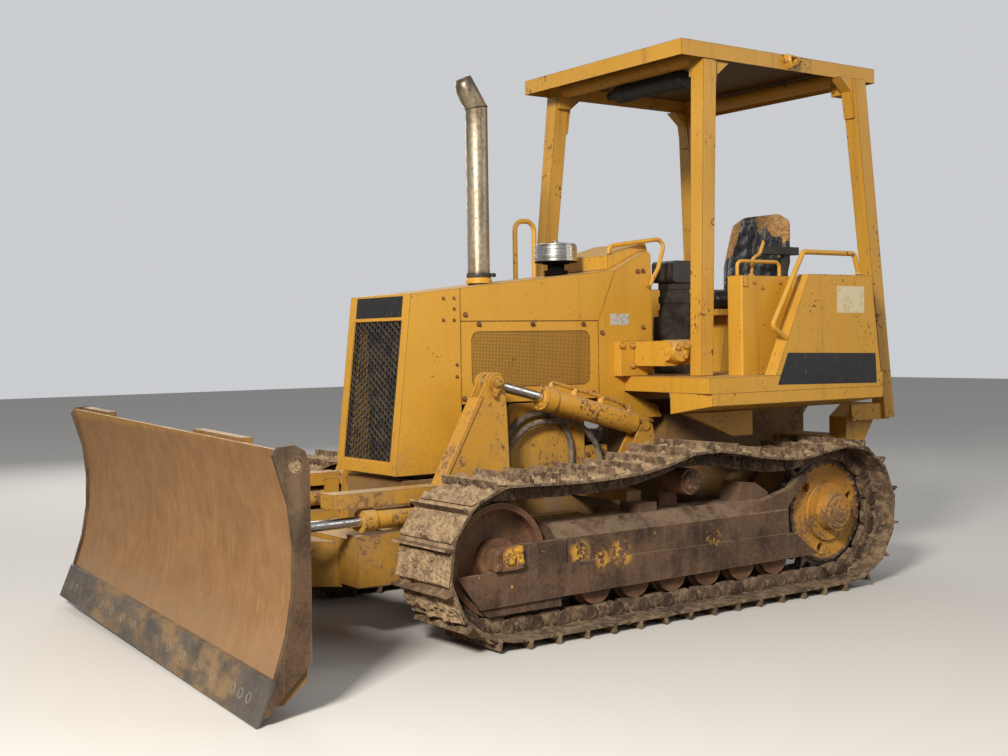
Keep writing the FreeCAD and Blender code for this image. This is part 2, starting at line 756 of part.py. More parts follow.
def grab_bars():
    """Hand rails: one on the cowl, one by the right step, two on each fender."""
    dash = tube([(940, 190, 1731.5), (940, 190, 1772), (700, 262, 1806), (616, 262, 1812), (690, 288, 1660),
                 (752, 288, 1566)], 11, 34)
    dash_foot = rod((752, hood_half_width + seat_gap, 1572), (752, 290, 1572), 14)
    side = -hood_half_width - 17
    step = tube([(1052, side, 1440), (1052, side, 1930), (1178, side, 1930), (1178, side, 1440)], 13, 50)
    hood_side = -hood_half_width - seat_gap
    feet = [rod((x, hood_side, z), (x, side, z), 15) for x in (1052, 1178) for z in (1452, 1590)]
    loop = tube([(-95, 936, fender_top + 5), (-58, 936, 1712), (322, 936, 1712), (548, 936, 1346),
                 (450.9, 936, 1290.2)], 13, 26)
    top = fender_top - 4 + seat_gap
    inner = tube([(590, 750, top), (590, 750, 1672), (290, 750, 1672), (290, 750, top)], 9, 30)
    return [fused([dash, dash_foot]), fused([step] + feet)] + both_sides(loop) + [inner]


def seat_base():
    """Seat pan on its column, with the bar that holds the back."""
    back = seat_back_place
    pan = box(back - 100, 200, -235, 235, 1418, 1452)
    foot = platform_top + seat_gap
    column = prism_y([(back, foot), (110, foot), (60, 1420), (back + 60, 1420)], -150, 150)
    bar = prism_y([(back - 112, 1418), (back - 77.6, 1418), (back - 137.9, 1760),
                   (back - 158, 1760)], -60, 60)
    return fused([pan, column, bar])


def seat_cushion():
    cushion = box(seat_back_place + 10, 215, -240, 240, 1452 + seat_gap, 1560)
    return rounded(cushion, 40, UP)


def seat_back():
    """Back cushion, leaning back a little, narrower at the top."""
    outline = [(-225, 1475), (225, 1475), (262, 1720), (215, 1960), (150, 2018), (-150, 2018),
               (-215, 1960), (-262, 1720)]
    cushion = prism_x(outline, seat_back_place - 86, seat_back_place)
    cushion.rotate(V(seat_back_place, 0, 1475), LEFT, -10)
    return cushion


def armrests():
    """Left arm pad on its stay beside the seat."""
    x = seat_back_place + 10
    pad = rounded(box(x - 80, x + 250, 290, 352, 1748, 1790), 24, UP)
    stay = box(x, x + 30, 300, 330, 1425, 1752)
    foot = box(x, x + 30, 235 + seat_gap, 330, 1420, 1450)
    return [fused([pad, stay, foot])]


def controls():
    """Control console beside the seat: its box, the lever's rubber boot and the head above it."""
    x0, x1 = console_rear, console_rear + 150
    console = box(x0, x1, 95, 262, platform_top, 1412)
    collars = [box(x0 + 20 + 5 * (k % 2), x1 - 20 - 5 * (k % 2), 112 + 5 * (k % 2), 245 - 5 * (k % 2),
                   1411 + 36 * k, 1412 + 36 * (k + 1)) for k in range(5)]
    head = rounded(box(x0 - 10, x1 + 12, 98, 262, 1591, 1704), 20, LEFT)
    return fused([console, head] + collars)


def levers():
    """Steering levers by the cowl and blade levers on the right, each on the floor."""
    items = []
    for x, y in ((600, -95), (640, 30)):
        items.append(fused([rod((x, y, platform_top + seat_gap), (x, y, platform_top + 20), 16),
                            rod((x, y, platform_top + 8), (x - 40, y, 1480), 9),
                            rod((x - 40, y, 1478), (x - 44, y, 1560), 17)]))
    for y in (-330, -370):
        items.append(fused([rod((250, y, platform_top + seat_gap), (250, y, platform_top + 16), 15),
                            rod((250, y, platform_top + 8), (235, y, 1640), 8),
                            rod((235, y, 1638), (233, y, 1700), 16)]))
    return items


def canopy_post(top, bottom, width_top, width_bottom, gusset_way):
    """A tapered square post between two (x, y, z) points, with a gusset at its top."""
    def square(centre, half):
        x, y, z = centre
        return Part.makePolygon([V(x - half, y - half, z), V(x + half, y - half, z),
                                 V(x + half, y + half, z), V(x - half, y + half, z), V(x - half, y - half, z)])
    post = Part.makeLoft([square(bottom, width_bottom / 2), square(top, width_top / 2)], True, True)
    x, y, z = top
    gusset = prism_y([(x, z), (x + gusset_way * 150, z), (x + gusset_way * 62, z - 70),
                      (x + gusset_way * 40, z - 210), (x, z - 210)], y - 32, y + 32)
    return fused([post, gusset])


front_post_top = (640.0, 584.0, 2676.0)
front_post_low = (756.0, 664.0, 1112.0)
rear_post_top = (-426.0, 640.0, 2676.0)
rear_post_low = (-562.0, 719.0, 850.0)


def canopy_hoops():
    """Front and rear hoops: two posts on a cross tube, with the feet that are bolted to the mounts."""
    hoops = []
    for top, low, way in ((front_post_top, front_post_low, -1), (rear_post_top, rear_post_low, 1)):
        post = canopy_post(top, low, 88, 78, way)
        head_top = roof_top - roof_sheet - seat_gap
        head = box(top[0] - 40, top[0] + 40, 520, roof_half_width - roof_sheet - 4, 2600, head_top)
        cross = rod((top[0], -560, 2700), (top[0], 560, 2700), 40)
        if way < 0:
            foot = box(700, 765, 500, 640, 1165, 1290)
        else:
            foot = box(-580, -270, 722, 738, 842, 930)
        hoops.append(fused([cross] + both_sides(post) + both_sides(head) + both_sides(foot)))
    return hoops


def canopy_roof():
    outside = box(roof_rear, roof_front, -roof_half_width, roof_half_width, roof_top - roof_edge_depth, roof_top)
    inside = box(roof_rear + roof_sheet, roof_front - roof_sheet, -roof_half_width + roof_sheet,
                 roof_half_width - roof_sheet, roof_top - roof_edge_depth - 5, roof_top - roof_sheet)
    return outside.cut(inside)


def canopy_mounts():
    """Front and rear mounts of the canopy posts on the left."""
    front = fused([
        prism_y([(812, 1111), (985, 1111), (985, 1288), (830, 1288)], hood_half_width + seat_gap, 336),
        box(812, 900, 330, 560, 1160, 1285),
        rod((765.3, 560, 1237), (900, 560, 1237), 52),
    ])
    rear = fused([
        prism_y([(-300, 700), (-300, 860), (-400, 930), (-520, 930), (-520, 830), (-430, 700)], 560, 675.7),
        box(-430, -200, frame_half_width, 600, 700, 760),
    ])
    return both_sides(front) + both_sides(rear)


def drawbar():
    """Rear hitch: two plates with an upright pin hole, on the rear case."""
    plates = []
    for z in (395.0, 475.0):
        plate = prism_z([(frame_rear - 150, -45), (frame_rear - 150, 45), (frame_rear - 90, 80),
                         (frame_rear, 80), (frame_rear, -80), (frame_rear - 90, -80)], z, z + 30)
        plates.append(plate)
    back = box(frame_rear - 30, frame_rear, -120, 120, 360, 540)
    hole = rod((drawbar_pin_x, 0, 380), (drawbar_pin_x, 0, 520), drawbar_pin_radius)
    return fused([back] + plates).cut(hole)


drawbar_pin_x = frame_rear - 95
drawbar_pin_radius = 21.0


# Blade frame and cylinders
def c_frame():
    """Push frame: two arms from the trunnions, a cross beam and the nose that holds the king pin."""
    x, z = lift_pivot
    arms = []
    for side in (-1, 1):
        y0, y1 = sorted((side * arm_inner, side * arm_outer))
        arm = prism_y([(x, z - 78), (x + 260, arm_low), (arm_front, arm_low - 60),
                       (arm_front, arm_top), (x + 360, arm_top), (x + 265, arm_neck_top),
                       (x + 60, arm_neck_top), (x, z + 70)], y0, y1)
        boss = rod((x, y0, z), (x, y1, z), 84)
        arms.append(fused([arm, boss]).cut(rod((x, y0 - 5, z), (x, y1 + 5, z), 44 + pin_play)))
    cross = box(arm_front - 160, arm_front, -arm_outer, arm_outer, arm_low - 60, arm_top - 20)
    nose_low = nose_height - nose_half_height
    nose_top = nose_height + nose_half_height
    nose = prism_z([(arm_front - 10, -330), (nose_ahead, -nose_radius), (nose_ahead, nose_radius),
                    (arm_front - 10, 330)],
                   nose_low, nose_top)
    boss = Part.makeCylinder(nose_radius, 2 * nose_half_height, V(nose_ahead, 0, nose_low))
    frame = fused(arms + [cross, nose, boss])
    bore = Part.makeCylinder(king_pin_radius + pin_play, 2 * nose_half_height + 20,
                             V(nose_ahead, 0, nose_low - 10))
    return frame.cut(bore)


def lift_tower():
    """Left tower: two walls on the arm's sides, a bridge over the angle cylinder and the lift pin's ears."""
    x, z = lift_eye
    half = lift_clevis_half
    rear, front = x - 90, x + 320
    bridge = box(rear, front, tower_inner, tower_outer, arm_top - 110, bridge_top)
    bridge = bridge.cut(box(rear - 10, front + 10, tower_inner + 14, tower_outer - 14, arm_top, bridge_low))
    bridge = bridge.cut(box(rear - 10, front + 10, arm_inner - seat_gap, arm_outer + seat_gap, 0, arm_top + 5))
    outline = [(rear + 12, bridge_top - 5), (front - 18, bridge_top - 5), (x + 46, z + 12), (x - 50, z + 12),
               (x - 62, z - 120)]
    ears = []
    for y0, y1 in ((lift_plane - half - 16, lift_plane - half), (lift_plane + half, lift_plane + half + 16)):
        ears.append(fused([prism_y(outline, y0, y1), rod((x, y0, z), (x, y1, z), 52)]))
    flange = prism_y([(front - 18, bridge_top - 5), (front - 2, bridge_top - 5), (x + 88, z - 60),
                      (x + 70, z - 60)], lift_plane - half - 16, lift_plane + half + 22)
    caps = [rod((x, lift_plane + half + 16, z), (x, lift_plane + half + 30, z), 40),
            rod((x, lift_plane - half - 34, z), (x, lift_plane - half - 16, z), 46)]
    return fused([bridge, flange] + ears + caps)


def arm_guard():
    """Left guard over the angle cylinder: a folded channel ahead of the tower on an inner leg."""
    rear = lift_eye[0] + 320 + seat_gap
    front = nose_ahead - 135
    channel = box(rear, front, 400, 512, bridge_low, bridge_low + 62)
    hollow = box(rear - 10, front - 8, 408, 504, bridge_low - 5, bridge_low + 54)
    leg = box(rear + 10, rear + 90, arm_inner, arm_inner + 6, arm_top + seat_gap, bridge_low + 30)
    return fused([channel.cut(hollow), leg])


def angle_bracket():
    """Bracket of the left angle cylinder's rear pin, on the arm under the tower's bridge."""
    x, y = angle_rear_pin
    half = angle_clevis_half
    outline = [(x - 90, y - 34), (x + 30, y - 34), (x + 30, y + 34), (x - 90, y + 34)]
    low = prism_z(outline, arm_top + seat_gap, angle_height - half)
    top = prism_z(outline, angle_height + half, angle_height + half + 20)
    back = box(x - 90, x - 60, y - 34, y + 34, arm_top + seat_gap, angle_height + half + 20)
    pin = rod((x, y, angle_height - half - 10), (x, y, angle_height + half + 26), 22)
    return fused([low, top, back, pin])


def cylinder(rear, front, barrel_length, barrel_radius, rod_length, rod_radius, pin_radius, half, across):
    """A hydraulic cylinder between two pins: its barrel and its rod, each with an eye.

    The barrel is bored for the rod and its piston. The eyes lie between cheeks that are two halves apart.
    """
    start = V(*rear)
    end = V(*front)
    along = (end - start).normalize()
    span = (end - start).Length
    side = V(*across)
    eye_half = half - side_play
    eye_radius = pin_radius + 14
    shoulder = eye_radius + 8
    head = barrel_length - 62
    wall = 8.0
    piston = span - rod_length

    def bar(radius, a, b):
        return Part.makeCylinder(radius, b - a, start + along * a, along)

    def disc(centre, radius, reach):
        return Part.makeCylinder(radius, 2 * reach, centre - side * reach, side)

    barrel = fused([bar(barrel_radius, shoulder, barrel_length), bar(barrel_radius + 8, head, barrel_length),
                    bar(half - 6, 0, shoulder + 5), disc(start, eye_radius, eye_half)])
    barrel = barrel.cut(bar(barrel_radius - wall, shoulder + 12, head))
    barrel = barrel.cut(bar(rod_radius + pin_play, head - 5, barrel_length + 5))
    barrel = barrel.cut(disc(start, pin_radius + pin_play, half + 5))
    piston_rod = fused([bar(rod_radius, piston, span),
                        bar(barrel_radius - wall - pin_play, piston, piston + 30),
                        disc(end, eye_radius, eye_half)])
    return barrel, piston_rod


def lift_cylinder():
    rear = (lift_rear_pin[0], lift_plane, lift_rear_pin[1])
    front = (lift_eye[0], lift_plane, lift_eye[1])
    return cylinder(rear, front, lift_barrel_length, lift_barrel_radius, lift_rod_length, lift_rod_radius,
                    25, lift_clevis_half, (0, 1, 0))


def angle_cylinder(side):
    """The angle cylinder of one side, set to its ear at the parked angle."""
    eye = V(angle_eye[0] - nose_ahead, side * angle_eye[1], 0)
    eye = FreeCAD.Rotation(UP, rest_yaw).multVec(eye) + V(nose_ahead, 0, angle_height)
    rear = (angle_rear_pin[0], side * angle_rear_pin[1], angle_height)
    return cylinder(rear, tuple(eye), angle_barrel_length, angle_barrel_radius, angle_rod_length,
                    angle_rod_radius, 22, angle_clevis_half, (0, 0, 1))


def yoke():
    """Swinging head on the nose: king pin, cross beam with ears, tilt pin and the tilt cylinder's mast."""
    low = nose_height - nose_half_height
    top = nose_height + nose_half_height
    half = angle_clevis_half
    beam_low = angle_height - half - 22
    beam_top = angle_height + half + 22
    king = Part.makeCylinder(king_pin_radius, top - low + 90, V(nose_ahead, 0, low - 45))
    plates = []
    for z0, z1 in ((low - 42, low - 6), (top + 6, top + 42)):
        plates.append(prism_z([(nose_ahead, -96), (yoke_front, -190), (yoke_front, 190),
                               (nose_ahead, 96)], z0, z1))
        plates.append(Part.makeCylinder(96, z1 - z0, V(nose_ahead, 0, z0)))
    web = box(yoke_front - 34, yoke_front, -190, 190, low - 42, beam_low + 10)
    beam = box(yoke_front - 38, yoke_front, -575, 575, beam_low, beam_top)
    ears = []
    for side in (-1, 1):
        x, y = angle_eye
        y = side * y
        outline = [(yoke_front - 30, y - 80), (x - 20, y - 50), (x - 42, y - 24), (x - 42, y + 24),
                   (x - 20, y + 50), (yoke_front - 30, y + 80)]
        ears.append(prism_z(outline, beam_low, beam_low + 22))
        ears.append(prism_z(outline, beam_top - 22, beam_top))
        ears.append(rod((x, y, beam_top), (x, y, beam_top + 10), 28))
    tilt_pin = rod((yoke_front - 20, 0, tilt_height), (yoke_front + 150, 0, tilt_height), tilt_pin_radius)
    y, z = tilt_barrel_pin
    half = tilt_clevis_half
    mast = prism_x([(y - 90, beam_top - 20), (y + 190, beam_top - 20), (y + 60, z + 44), (y - 34, z + 44)],
                   yoke_front - 38, yoke_front)
    cheek = [(y - 34, z - 34), (y + 68, z - 40), (y + 68, z + 44), (y - 34, z + 44)]
    rear_cheek = prism_x(cheek, yoke_front - 5, tilt_plane - half)
    front_cheek = prism_x(cheek, tilt_plane + half, tilt_plane + half + 16)
    join = box(yoke_front - 5, tilt_plane + half + 16, y + 46, y + 68, z - 40, z + 44)
    bar = rod((tilt_plane - half - 10, y, z), (tilt_plane + half + 20, y, z), 20)
    return fused([king, web, beam, tilt_pin, mast, rear_cheek, front_cheek, join, bar] + plates + ears)


def blade_arc(offset):
    """The moldboard's curve as (start, middle, end) points of (x, z), moved back by an offset."""
    low = V(blade_edge_ahead - offset, 0, 0)
    top = V(blade_top_ahead - offset, 0, blade_height)
    chord = top - low
    back = V(-chord.z, 0, chord.x).normalize()
    middle = (low + top) * 0.5 + back * blade_hollow
    return low, middle, top


def moldboard():
    """Curved plate of the blade."""
    half = blade_width / 2 - end_plate
    front = blade_arc(0)
    rear = blade_arc(blade_plate)
    edges = [Part.Arc(*front).toShape(), Part.makeLine(front[2], rear[2]),
             Part.Arc(rear[2], rear[1], rear[0]).toShape(), Part.makeLine(rear[0], front[0])]
    profile = Part.Face(Part.Wire(edges))
    profile.translate(V(0, -half, 0))
    plate = profile.extrude(V(0, 2 * half, 0))
    foot = box(blade_edge_ahead - 200, blade_edge_ahead + 100, -half - 10, half + 10, -20, blade_cut)
    return plate.cut(foot)


def cutting_edge():
    """Cutting edge in three lengths and two end bits, bolted to the moldboard's foot."""
    half = blade_width / 2
    high = blade_edge_height
    top = blade_face(high) + seat_gap
    outline = [(blade_edge_ahead, 0), (blade_edge_ahead + 8, 0), (top + blade_edge_plate, high), (top, high)]
    bit = 230.0
    joint = 0.3
    stops = [(-half, -half + bit), (-half + bit, -half / 3), (-half / 3, half / 3), (half / 3, half - bit),
             (half - bit, half)]
    return [prism_y(outline, y0 + joint, y1 - joint) for y0, y1 in stops]


def blade_face(z):
    """Place of the moldboard's front face at a height above its foot."""
    low, middle, top = blade_arc(0)
    half_chord = (top - low).Length / 2
    radius = (half_chord ** 2 + blade_hollow ** 2) / (2 * blade_hollow)
    chord = top - low
    back = V(-chord.z, 0, chord.x).normalize()
    centre = (low + top) * 0.5 + back * (blade_hollow - radius)
    return centre.x - math.sqrt(radius ** 2 - (z - centre.z) ** 2)


def end_plates():
    """Left end plate with a lifting eye."""
    half = blade_width / 2
    edge = blade_edge_ahead
    high = blade_edge_height
    top = blade_height
    proud = 12.0
    outline = [(blade_face(top) + proud, top - 20), (blade_face(top) - 10, top + 8), (edge - 145, top + 12),
               (edge - 184, top - 10), (end_plate_rear, 880), (end_plate_rear, 200),
               (edge - 34, blade_cut), (edge - 20, blade_cut),
               (blade_face(high) - 3, high), (blade_face(high) + proud, high + 2)]
    outline += [(blade_face(z) + proud, z) for z in (300, 450, 600, 750)]
    plate = prism_y(outline, half - end_plate, half)
    return plate.cut(rod((edge - 148, half - end_plate - 5, 882), (edge - 148, half + 5, 882), 26))


def blade_back():
    """Box stiffeners, ribs, tilt socket and tilt lugs, welded to the moldboard's back."""
    half = blade_width / 2 - end_plate
    edge = blade_edge_ahead
    low_box = prism_y([(edge - 188, 130), (edge - 188, 300), (edge - 155, 330), (edge - 20, 60),
                       (edge - 100, 60)], -half, half)
    mid_box = prism_y([(edge - 198, 450), (edge - 198, 560), (edge - 145, 610), (edge - 145, 410)],
                      -half, half)
    lips = []
    for y0, y1 in ((430, 950), (-1220, -790)):
        lips.append(box(edge - 145, edge - 98, y0, y1, blade_height - 60, blade_height + 12))
    ribs = []
    for y in (-1000, -720, 720, 1000):
        ribs.append(prism_y([(edge - 188, 300), (edge - 198, 470), (edge - 198, 560), (edge - 170, 860),
                             (edge - 135, 880), (edge - 145, 600), (edge - 145, 330)], y - 10, y + 10))
    pin_height = tilt_height - blade_foot
    socket = box(yoke_front + 8, edge - 140, -130, 130, pin_height - 120, pin_height + 120)
    y, z = tilt_eye
    z -= blade_foot
    reach = tilt_clevis_half
    cheek = [(y - 75, z - 50), (y + 40, z - 50), (y + 40, z + 50), (y - 75, z + 50)]
    lugs = [prism_x(cheek, tilt_plane - reach - 16, tilt_plane - reach),
            prism_x(cheek, tilt_plane + reach, edge - 130),
            box(tilt_plane - reach - 16, edge - 130, y - 75, y - 55, z - 50, z + 50)]
    frame = fused([low_box, mid_box, socket] + lips + ribs + lugs)
    frame = frame.cut(ahead_of_moldboard(half + 20))
    bore = rod((yoke_front, 0, pin_height), (yoke_front + 160, 0, pin_height), tilt_pin_radius + pin_play)
    return frame.cut(bore)


def ahead_of_moldboard(half):
    """Everything ahead of the moldboard's back, used to fit pieces to its curve."""
    low, middle, top = blade_arc(blade_plate)
    ahead = V(400, 0, 0)
    over = top + V(0, 0, 80)
    edges = [Part.Arc(low, middle, top).toShape(), Part.makeLine(top, over),
             Part.makeLine(over, over + ahead), Part.makeLine(over + ahead, low + ahead),
             Part.makeLine(low + ahead, low)]
    profile = Part.Face(Part.Wire(edges))
    profile.translate(V(0, -half, 0))
    return profile.extrude(V(0, 2 * half, 0))


def tilt_cylinder():
    """The tilt cylinder, set to the blade's lug at the parked tilt."""
    eye = V(0, tilt_eye[0], tilt_eye[1] - tilt_height)
    eye = FreeCAD.Rotation(AHEAD, rest_tilt).multVec(eye) + V(tilt_plane, 0, tilt_height)
    rear = (tilt_plane, tilt_barrel_pin[0], tilt_barrel_pin[1])
    return cylinder(rear, tuple(eye), tilt_barrel_length, tilt_barrel_radius, tilt_rod_length,
                    tilt_rod_radius, 20, tilt_clevis_half, (1, 0, 0))


nodes = {}


def add(name, shapes):
    nodes[name] = shapes if isinstance(shapes, list) else [shapes]


def yawed(shapes):
    """Turns the pieces on the king pin to the angle at which the machine is parked."""
    turned_shapes = []
    for shape in shapes:
        copy = shape.copy()
        copy.rotate(V(nose_ahead, 0, 0), UP, rest_yaw)
        turned_shapes.append(copy)
    return turned_shapes


def tilted(shapes):
    """Sets the blade's pieces on the tilt pin, at the height and tilt at which the machine is parked."""
    turned_shapes = []
    for shape in shapes:
        copy = shape.copy()
        copy.translate(V(0, 0, blade_foot))
        copy.rotate(V(0, 0, tilt_height), AHEAD, rest_tilt)
        turned_shapes.append(copy)
    return turned_shapes


def build():
    add("main_frame", main_frame())
    add("side_housings", both_sides(side_housing()))
    hoses = angle_hoses()
    add("angle_hoses", hoses + [mirrored(hose) for hose in hoses])
    add("final_drives", both_sides(final_drive()))
    add("sprockets", both_sides(sprocket()))
    add("track_frames", both_sides(track_frame()))
    rollers = []
    for x in roller_ahead:
        rollers += both_sides(lower_roller(x))
    add("track_rollers", rollers + both_sides(carrier_roller()))
    add("idlers", both_sides(idler()))
    left_track = track()
    add("track_left", left_track)
    add("track_right", mirrored(left_track))
    add("equalizer_bar", equalizer_bar())
    add("engine_block", engine_block())
    add("radiator", radiator())
    add("nose_shell", nose_shell())
    add("grille", grille())
    add("hood_top", hood_top())
    add("engine_panels", both_sides(engine_panel()))
    add("exhaust_stack", exhaust_stack())
    add("precleaner", precleaner())
    add("dash_cowl", dash_cowl())
    add("instrument_box", instrument_box())
    add("platform", platform())
    upper, skirt = fender()
    add("fender_left", upper)
    add("fender_right", mirrored(upper))
    add("platform_skirts", both_sides(skirt))
    add("fuel_tank", fuel_tank())
    add("grab_bars", grab_bars())
    add("seat_base", seat_base())
    add("seat_cushion", seat_cushion())
    add("seat_back", seat_back())
    add("armrests", armrests())
    add("controls", controls())
    add("levers", levers())
    add("canopy_hoops", canopy_hoops())
    add("canopy_roof", canopy_roof())
    add("canopy_mounts", canopy_mounts())
    add("drawbar", drawbar())
    add("c_frame", c_frame())
    add("lift_towers", both_sides(lift_tower()))
    add("arm_guards", both_sides(arm_guard()))
    add("angle_brackets", both_sides(angle_bracket()))
    barrel, piston_rod = lift_cylinder()
    add("lift_barrel_left", barrel)
    add("lift_barrel_right", mirrored(barrel))
    add("lift_rod_left", piston_rod)
    add("lift_rod_right", mirrored(piston_rod))
    add("yoke", yawed([yoke()]))
    add_angle_cylinders()
    barrel, piston_rod = tilt_cylinder()
    add("tilt_barrel", yawed([barrel]))
    add("tilt_rod", yawed([piston_rod]))
    add("moldboard", yawed(tilted([moldboard()])))
    add("cutting_edge", yawed(tilted(cutting_edge())))
    add("end_plates", yawed(tilted(both_sides(end_plates()))))
    add("blade_back", yawed(tilted([blade_back()])))


def add_angle_cylinders():
    for name, side in (("left", 1), ("right", -1)):
        barrel, piston_rod = angle_cylinder(side)
        add("angle_barrel_" + name, barrel)
        add("angle_rod_" + name, piston_rod)


def write():
    os.makedirs("parts", exist_ok=True)
    for name, shapes in nodes.items():
        shape = shapes[0] if len(shapes) == 1 else Part.makeCompound(shapes)
        shape = shape.copy()
        shape.translate(V(-origin_ahead_of_axle, 0, 0))
        shape.exportStep("parts/" + name + ".step")


build()
write()
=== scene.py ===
import math

import bmesh
import bpy
import numpy as np
from mathutils import Matrix, Vector


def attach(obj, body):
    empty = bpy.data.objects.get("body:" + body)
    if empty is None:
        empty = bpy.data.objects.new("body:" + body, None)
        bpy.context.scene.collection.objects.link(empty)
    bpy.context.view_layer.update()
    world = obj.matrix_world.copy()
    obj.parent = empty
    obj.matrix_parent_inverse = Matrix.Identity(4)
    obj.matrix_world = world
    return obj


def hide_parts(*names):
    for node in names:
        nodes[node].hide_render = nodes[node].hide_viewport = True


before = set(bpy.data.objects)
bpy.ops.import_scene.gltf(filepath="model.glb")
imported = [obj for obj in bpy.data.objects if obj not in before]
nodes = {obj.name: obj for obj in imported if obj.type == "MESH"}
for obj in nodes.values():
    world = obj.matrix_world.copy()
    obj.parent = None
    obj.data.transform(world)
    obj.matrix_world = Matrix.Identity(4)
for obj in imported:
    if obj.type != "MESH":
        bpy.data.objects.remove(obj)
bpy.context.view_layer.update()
scene = bpy.context.scene

# The photograph's camera. It stands ahead of the machine on its left, at the height of a person's
# chest, and looks level at the tracks and the hood. Its place and turn were solved from the tracks,
# the canopy's posts and the blade.
photo_width = 1008
focal_pixels = 1333.65
camera_place = Vector((3.9645, 5.3995, 1.2951))
camera_right = Vector((-0.8103, 0.5858, -0.0155))
camera_down = Vector((0.0287, 0.0133, -0.9995))
camera_ahead = Vector((-0.5853, -0.8104, -0.0276))
camera_data = bpy.data.cameras.new("camera")
camera_data.sensor_width = 36.0
camera_data.lens = camera_data.sensor_width * focal_pixels / photo_width
camera_data.clip_end = 100.0
camera = bpy.data.objects.new("camera", camera_data)
turn = Matrix((camera_right, -camera_down, -camera_ahead)).transposed()
camera.matrix_world = Matrix.Translation(camera_place) @ turn.to_4x4()
scene.collection.objects.link(camera)
scene.camera = camera
scene.view_settings.view_transform = "Standard"

# The studio. A low broad lamp stands where the photograph's sun stood, ahead of the machine on its
# left, with a weaker fill behind it, one on the far side and a pale sky.


def area_lamp(name, place, aim, size, watts, tint):
    """A square soft lamp at a place, turned to face a point."""
    data = bpy.data.lights.new(name, "AREA")
    data.size = size
    data.energy = watts
    data.color = tint
    lamp = bpy.data.objects.new(name, data)
    lamp.location = place
    lamp.rotation_euler = (Vector(aim) - Vector(place)).to_track_quat("-Z", "Y").to_euler()
    scene.collection.objects.link(lamp)


area_lamp("sun_side", (7.0, 5.5, 5.2), (0, 0, 0.8), 1.5, 1150, (1.0, 0.95, 0.87))
area_lamp("fill_side", (-6.0, 6.5, 4.0), (0, 0, 1.0), 5.0, 110, (1.0, 0.98, 0.95))
area_lamp("far_side", (-1.0, -7.5, 5.0), (0, 0, 1.0), 5.0, 260, (1.0, 0.98, 0.95))
world = bpy.data.worlds.new("pale_sky")
world.use_nodes = True
sky = world.node_tree
sky_shader = sky.nodes["Background"]
sky_shader.inputs["Color"].default_value = (0.90, 0.92, 0.95, 1)
sky_level = sky.nodes.new("ShaderNodeMapRange")
sky_level.inputs["To Min"].default_value = 0.34
sky_level.inputs["To Max"].default_value = 0.66
sky.links.new(sky.nodes.new("ShaderNodeLightPath").outputs["Is Camera Ray"], sky_level.inputs["Value"])
sky.links.new(sky_level.outputs["Result"], sky_shader.inputs["Strength"])
scene.world = world

# The floor. It is a plain pale ground, wide enough to run out of the picture, that the shoes and
# the cutting edge stand on. It is matt and holds the machine's shadow.


class Tree:
    """A node tree. Each method adds nodes and gives back an output, which the next may take."""

    def __init__(self, tree):
        self.tree = tree
        self.place = self.put("ShaderNodeTexCoord", output="Object")

    def node(self, kind, inputs=None, **settings):
        """Adds a node. An input takes another node's output or a plain value, and colours are (r, g, b)."""
        node = self.tree.nodes.new(kind)
        for key, value in settings.items():
            setattr(node, key, value)
        for key, value in (inputs or {}).items():
            socket = node.inputs[key]
            if isinstance(value, bpy.types.NodeSocket):
                self.tree.links.new(value, socket)
            else:
                socket.default_value = (*value, 1) if socket.type == "RGBA" else value
        return node

    def put(self, kind, inputs=None, output=0, **settings):
        """Adds a node and gives one of its outputs."""
        return self.node(kind, inputs, **settings).outputs[output]

    def maths(self, operation, first, second=0.0, third=0.0):
        """One step of arithmetic on values that change over the surface."""
        return self.put("ShaderNodeMath", {0: first, 1: second, 2: third}, operation=operation)

    def times(self, first, second):
        """The product of two values."""
        return self.maths("MULTIPLY", first, second)

    def plus(self, total, *terms):
        """Adds to a value the terms (value, weight), each value times its weight."""
        for value, weight in terms:
            total = self.maths("MULTIPLY_ADD", value, weight, total)
        return total

    def largest(self, first, *others):
        """The largest of some values."""
        for other in others:
            first = self.maths("MAXIMUM", first, other)
        return first

    def band(self, value, low, high, out_low=0.0, out_high=1.0):
        """Smooth step: out_low where the value is under low, out_high where it is over high."""
        return self.put("ShaderNodeMapRange", {"Value": value, "From Min": low, "From Max": high,
                                               "To Min": out_low,
                                               "To Max": out_high}, interpolation_type="SMOOTHSTEP")

    def mixed(self, share, first, second):
        """Mixes two colours by a share."""
        return self.put("ShaderNodeMix", {0: share, 6: first, 7: second}, 2, data_type="RGBA")

    def noise(self, scale, detail=4.0, rough=0.55, stretch=None, at=None):
        """Cloudy noise, stretched along the axes if asked. Its values lie near a half."""
        at = self.place if at is None else at
        if stretch:
            at = self.put("ShaderNodeMapping", {"Vector": at, "Scale": stretch})
        return self.put("ShaderNodeTexNoise", {"Vector": at, "Scale": scale, "Detail": detail,
                                               "Roughness": rough})

    def along(self, letter):
        """The place's own X, Y or Z, in metres."""
        return self.put("ShaderNodeSeparateXYZ", {0: self.place}, letter)

    def facing(self, letter):
        """The X, Y or Z of the direction that the surface faces."""
        normal = self.put("ShaderNodeNewGeometry", output="Normal")
        return self.put("ShaderNodeSeparateXYZ", {0: normal}, letter)

    def distance(self, point, at=None):
        """The distance from a point, in metres."""
        at = self.place if at is None else at
        return self.put("ShaderNodeVectorMath", {0: at, 1: point}, "Value", operation="DISTANCE")

    def grouped(self, group, **values):
        """Adds a node group with its own values and gives its outputs."""
        return self.node("ShaderNodeGroup", values, node_tree=group.tree).outputs


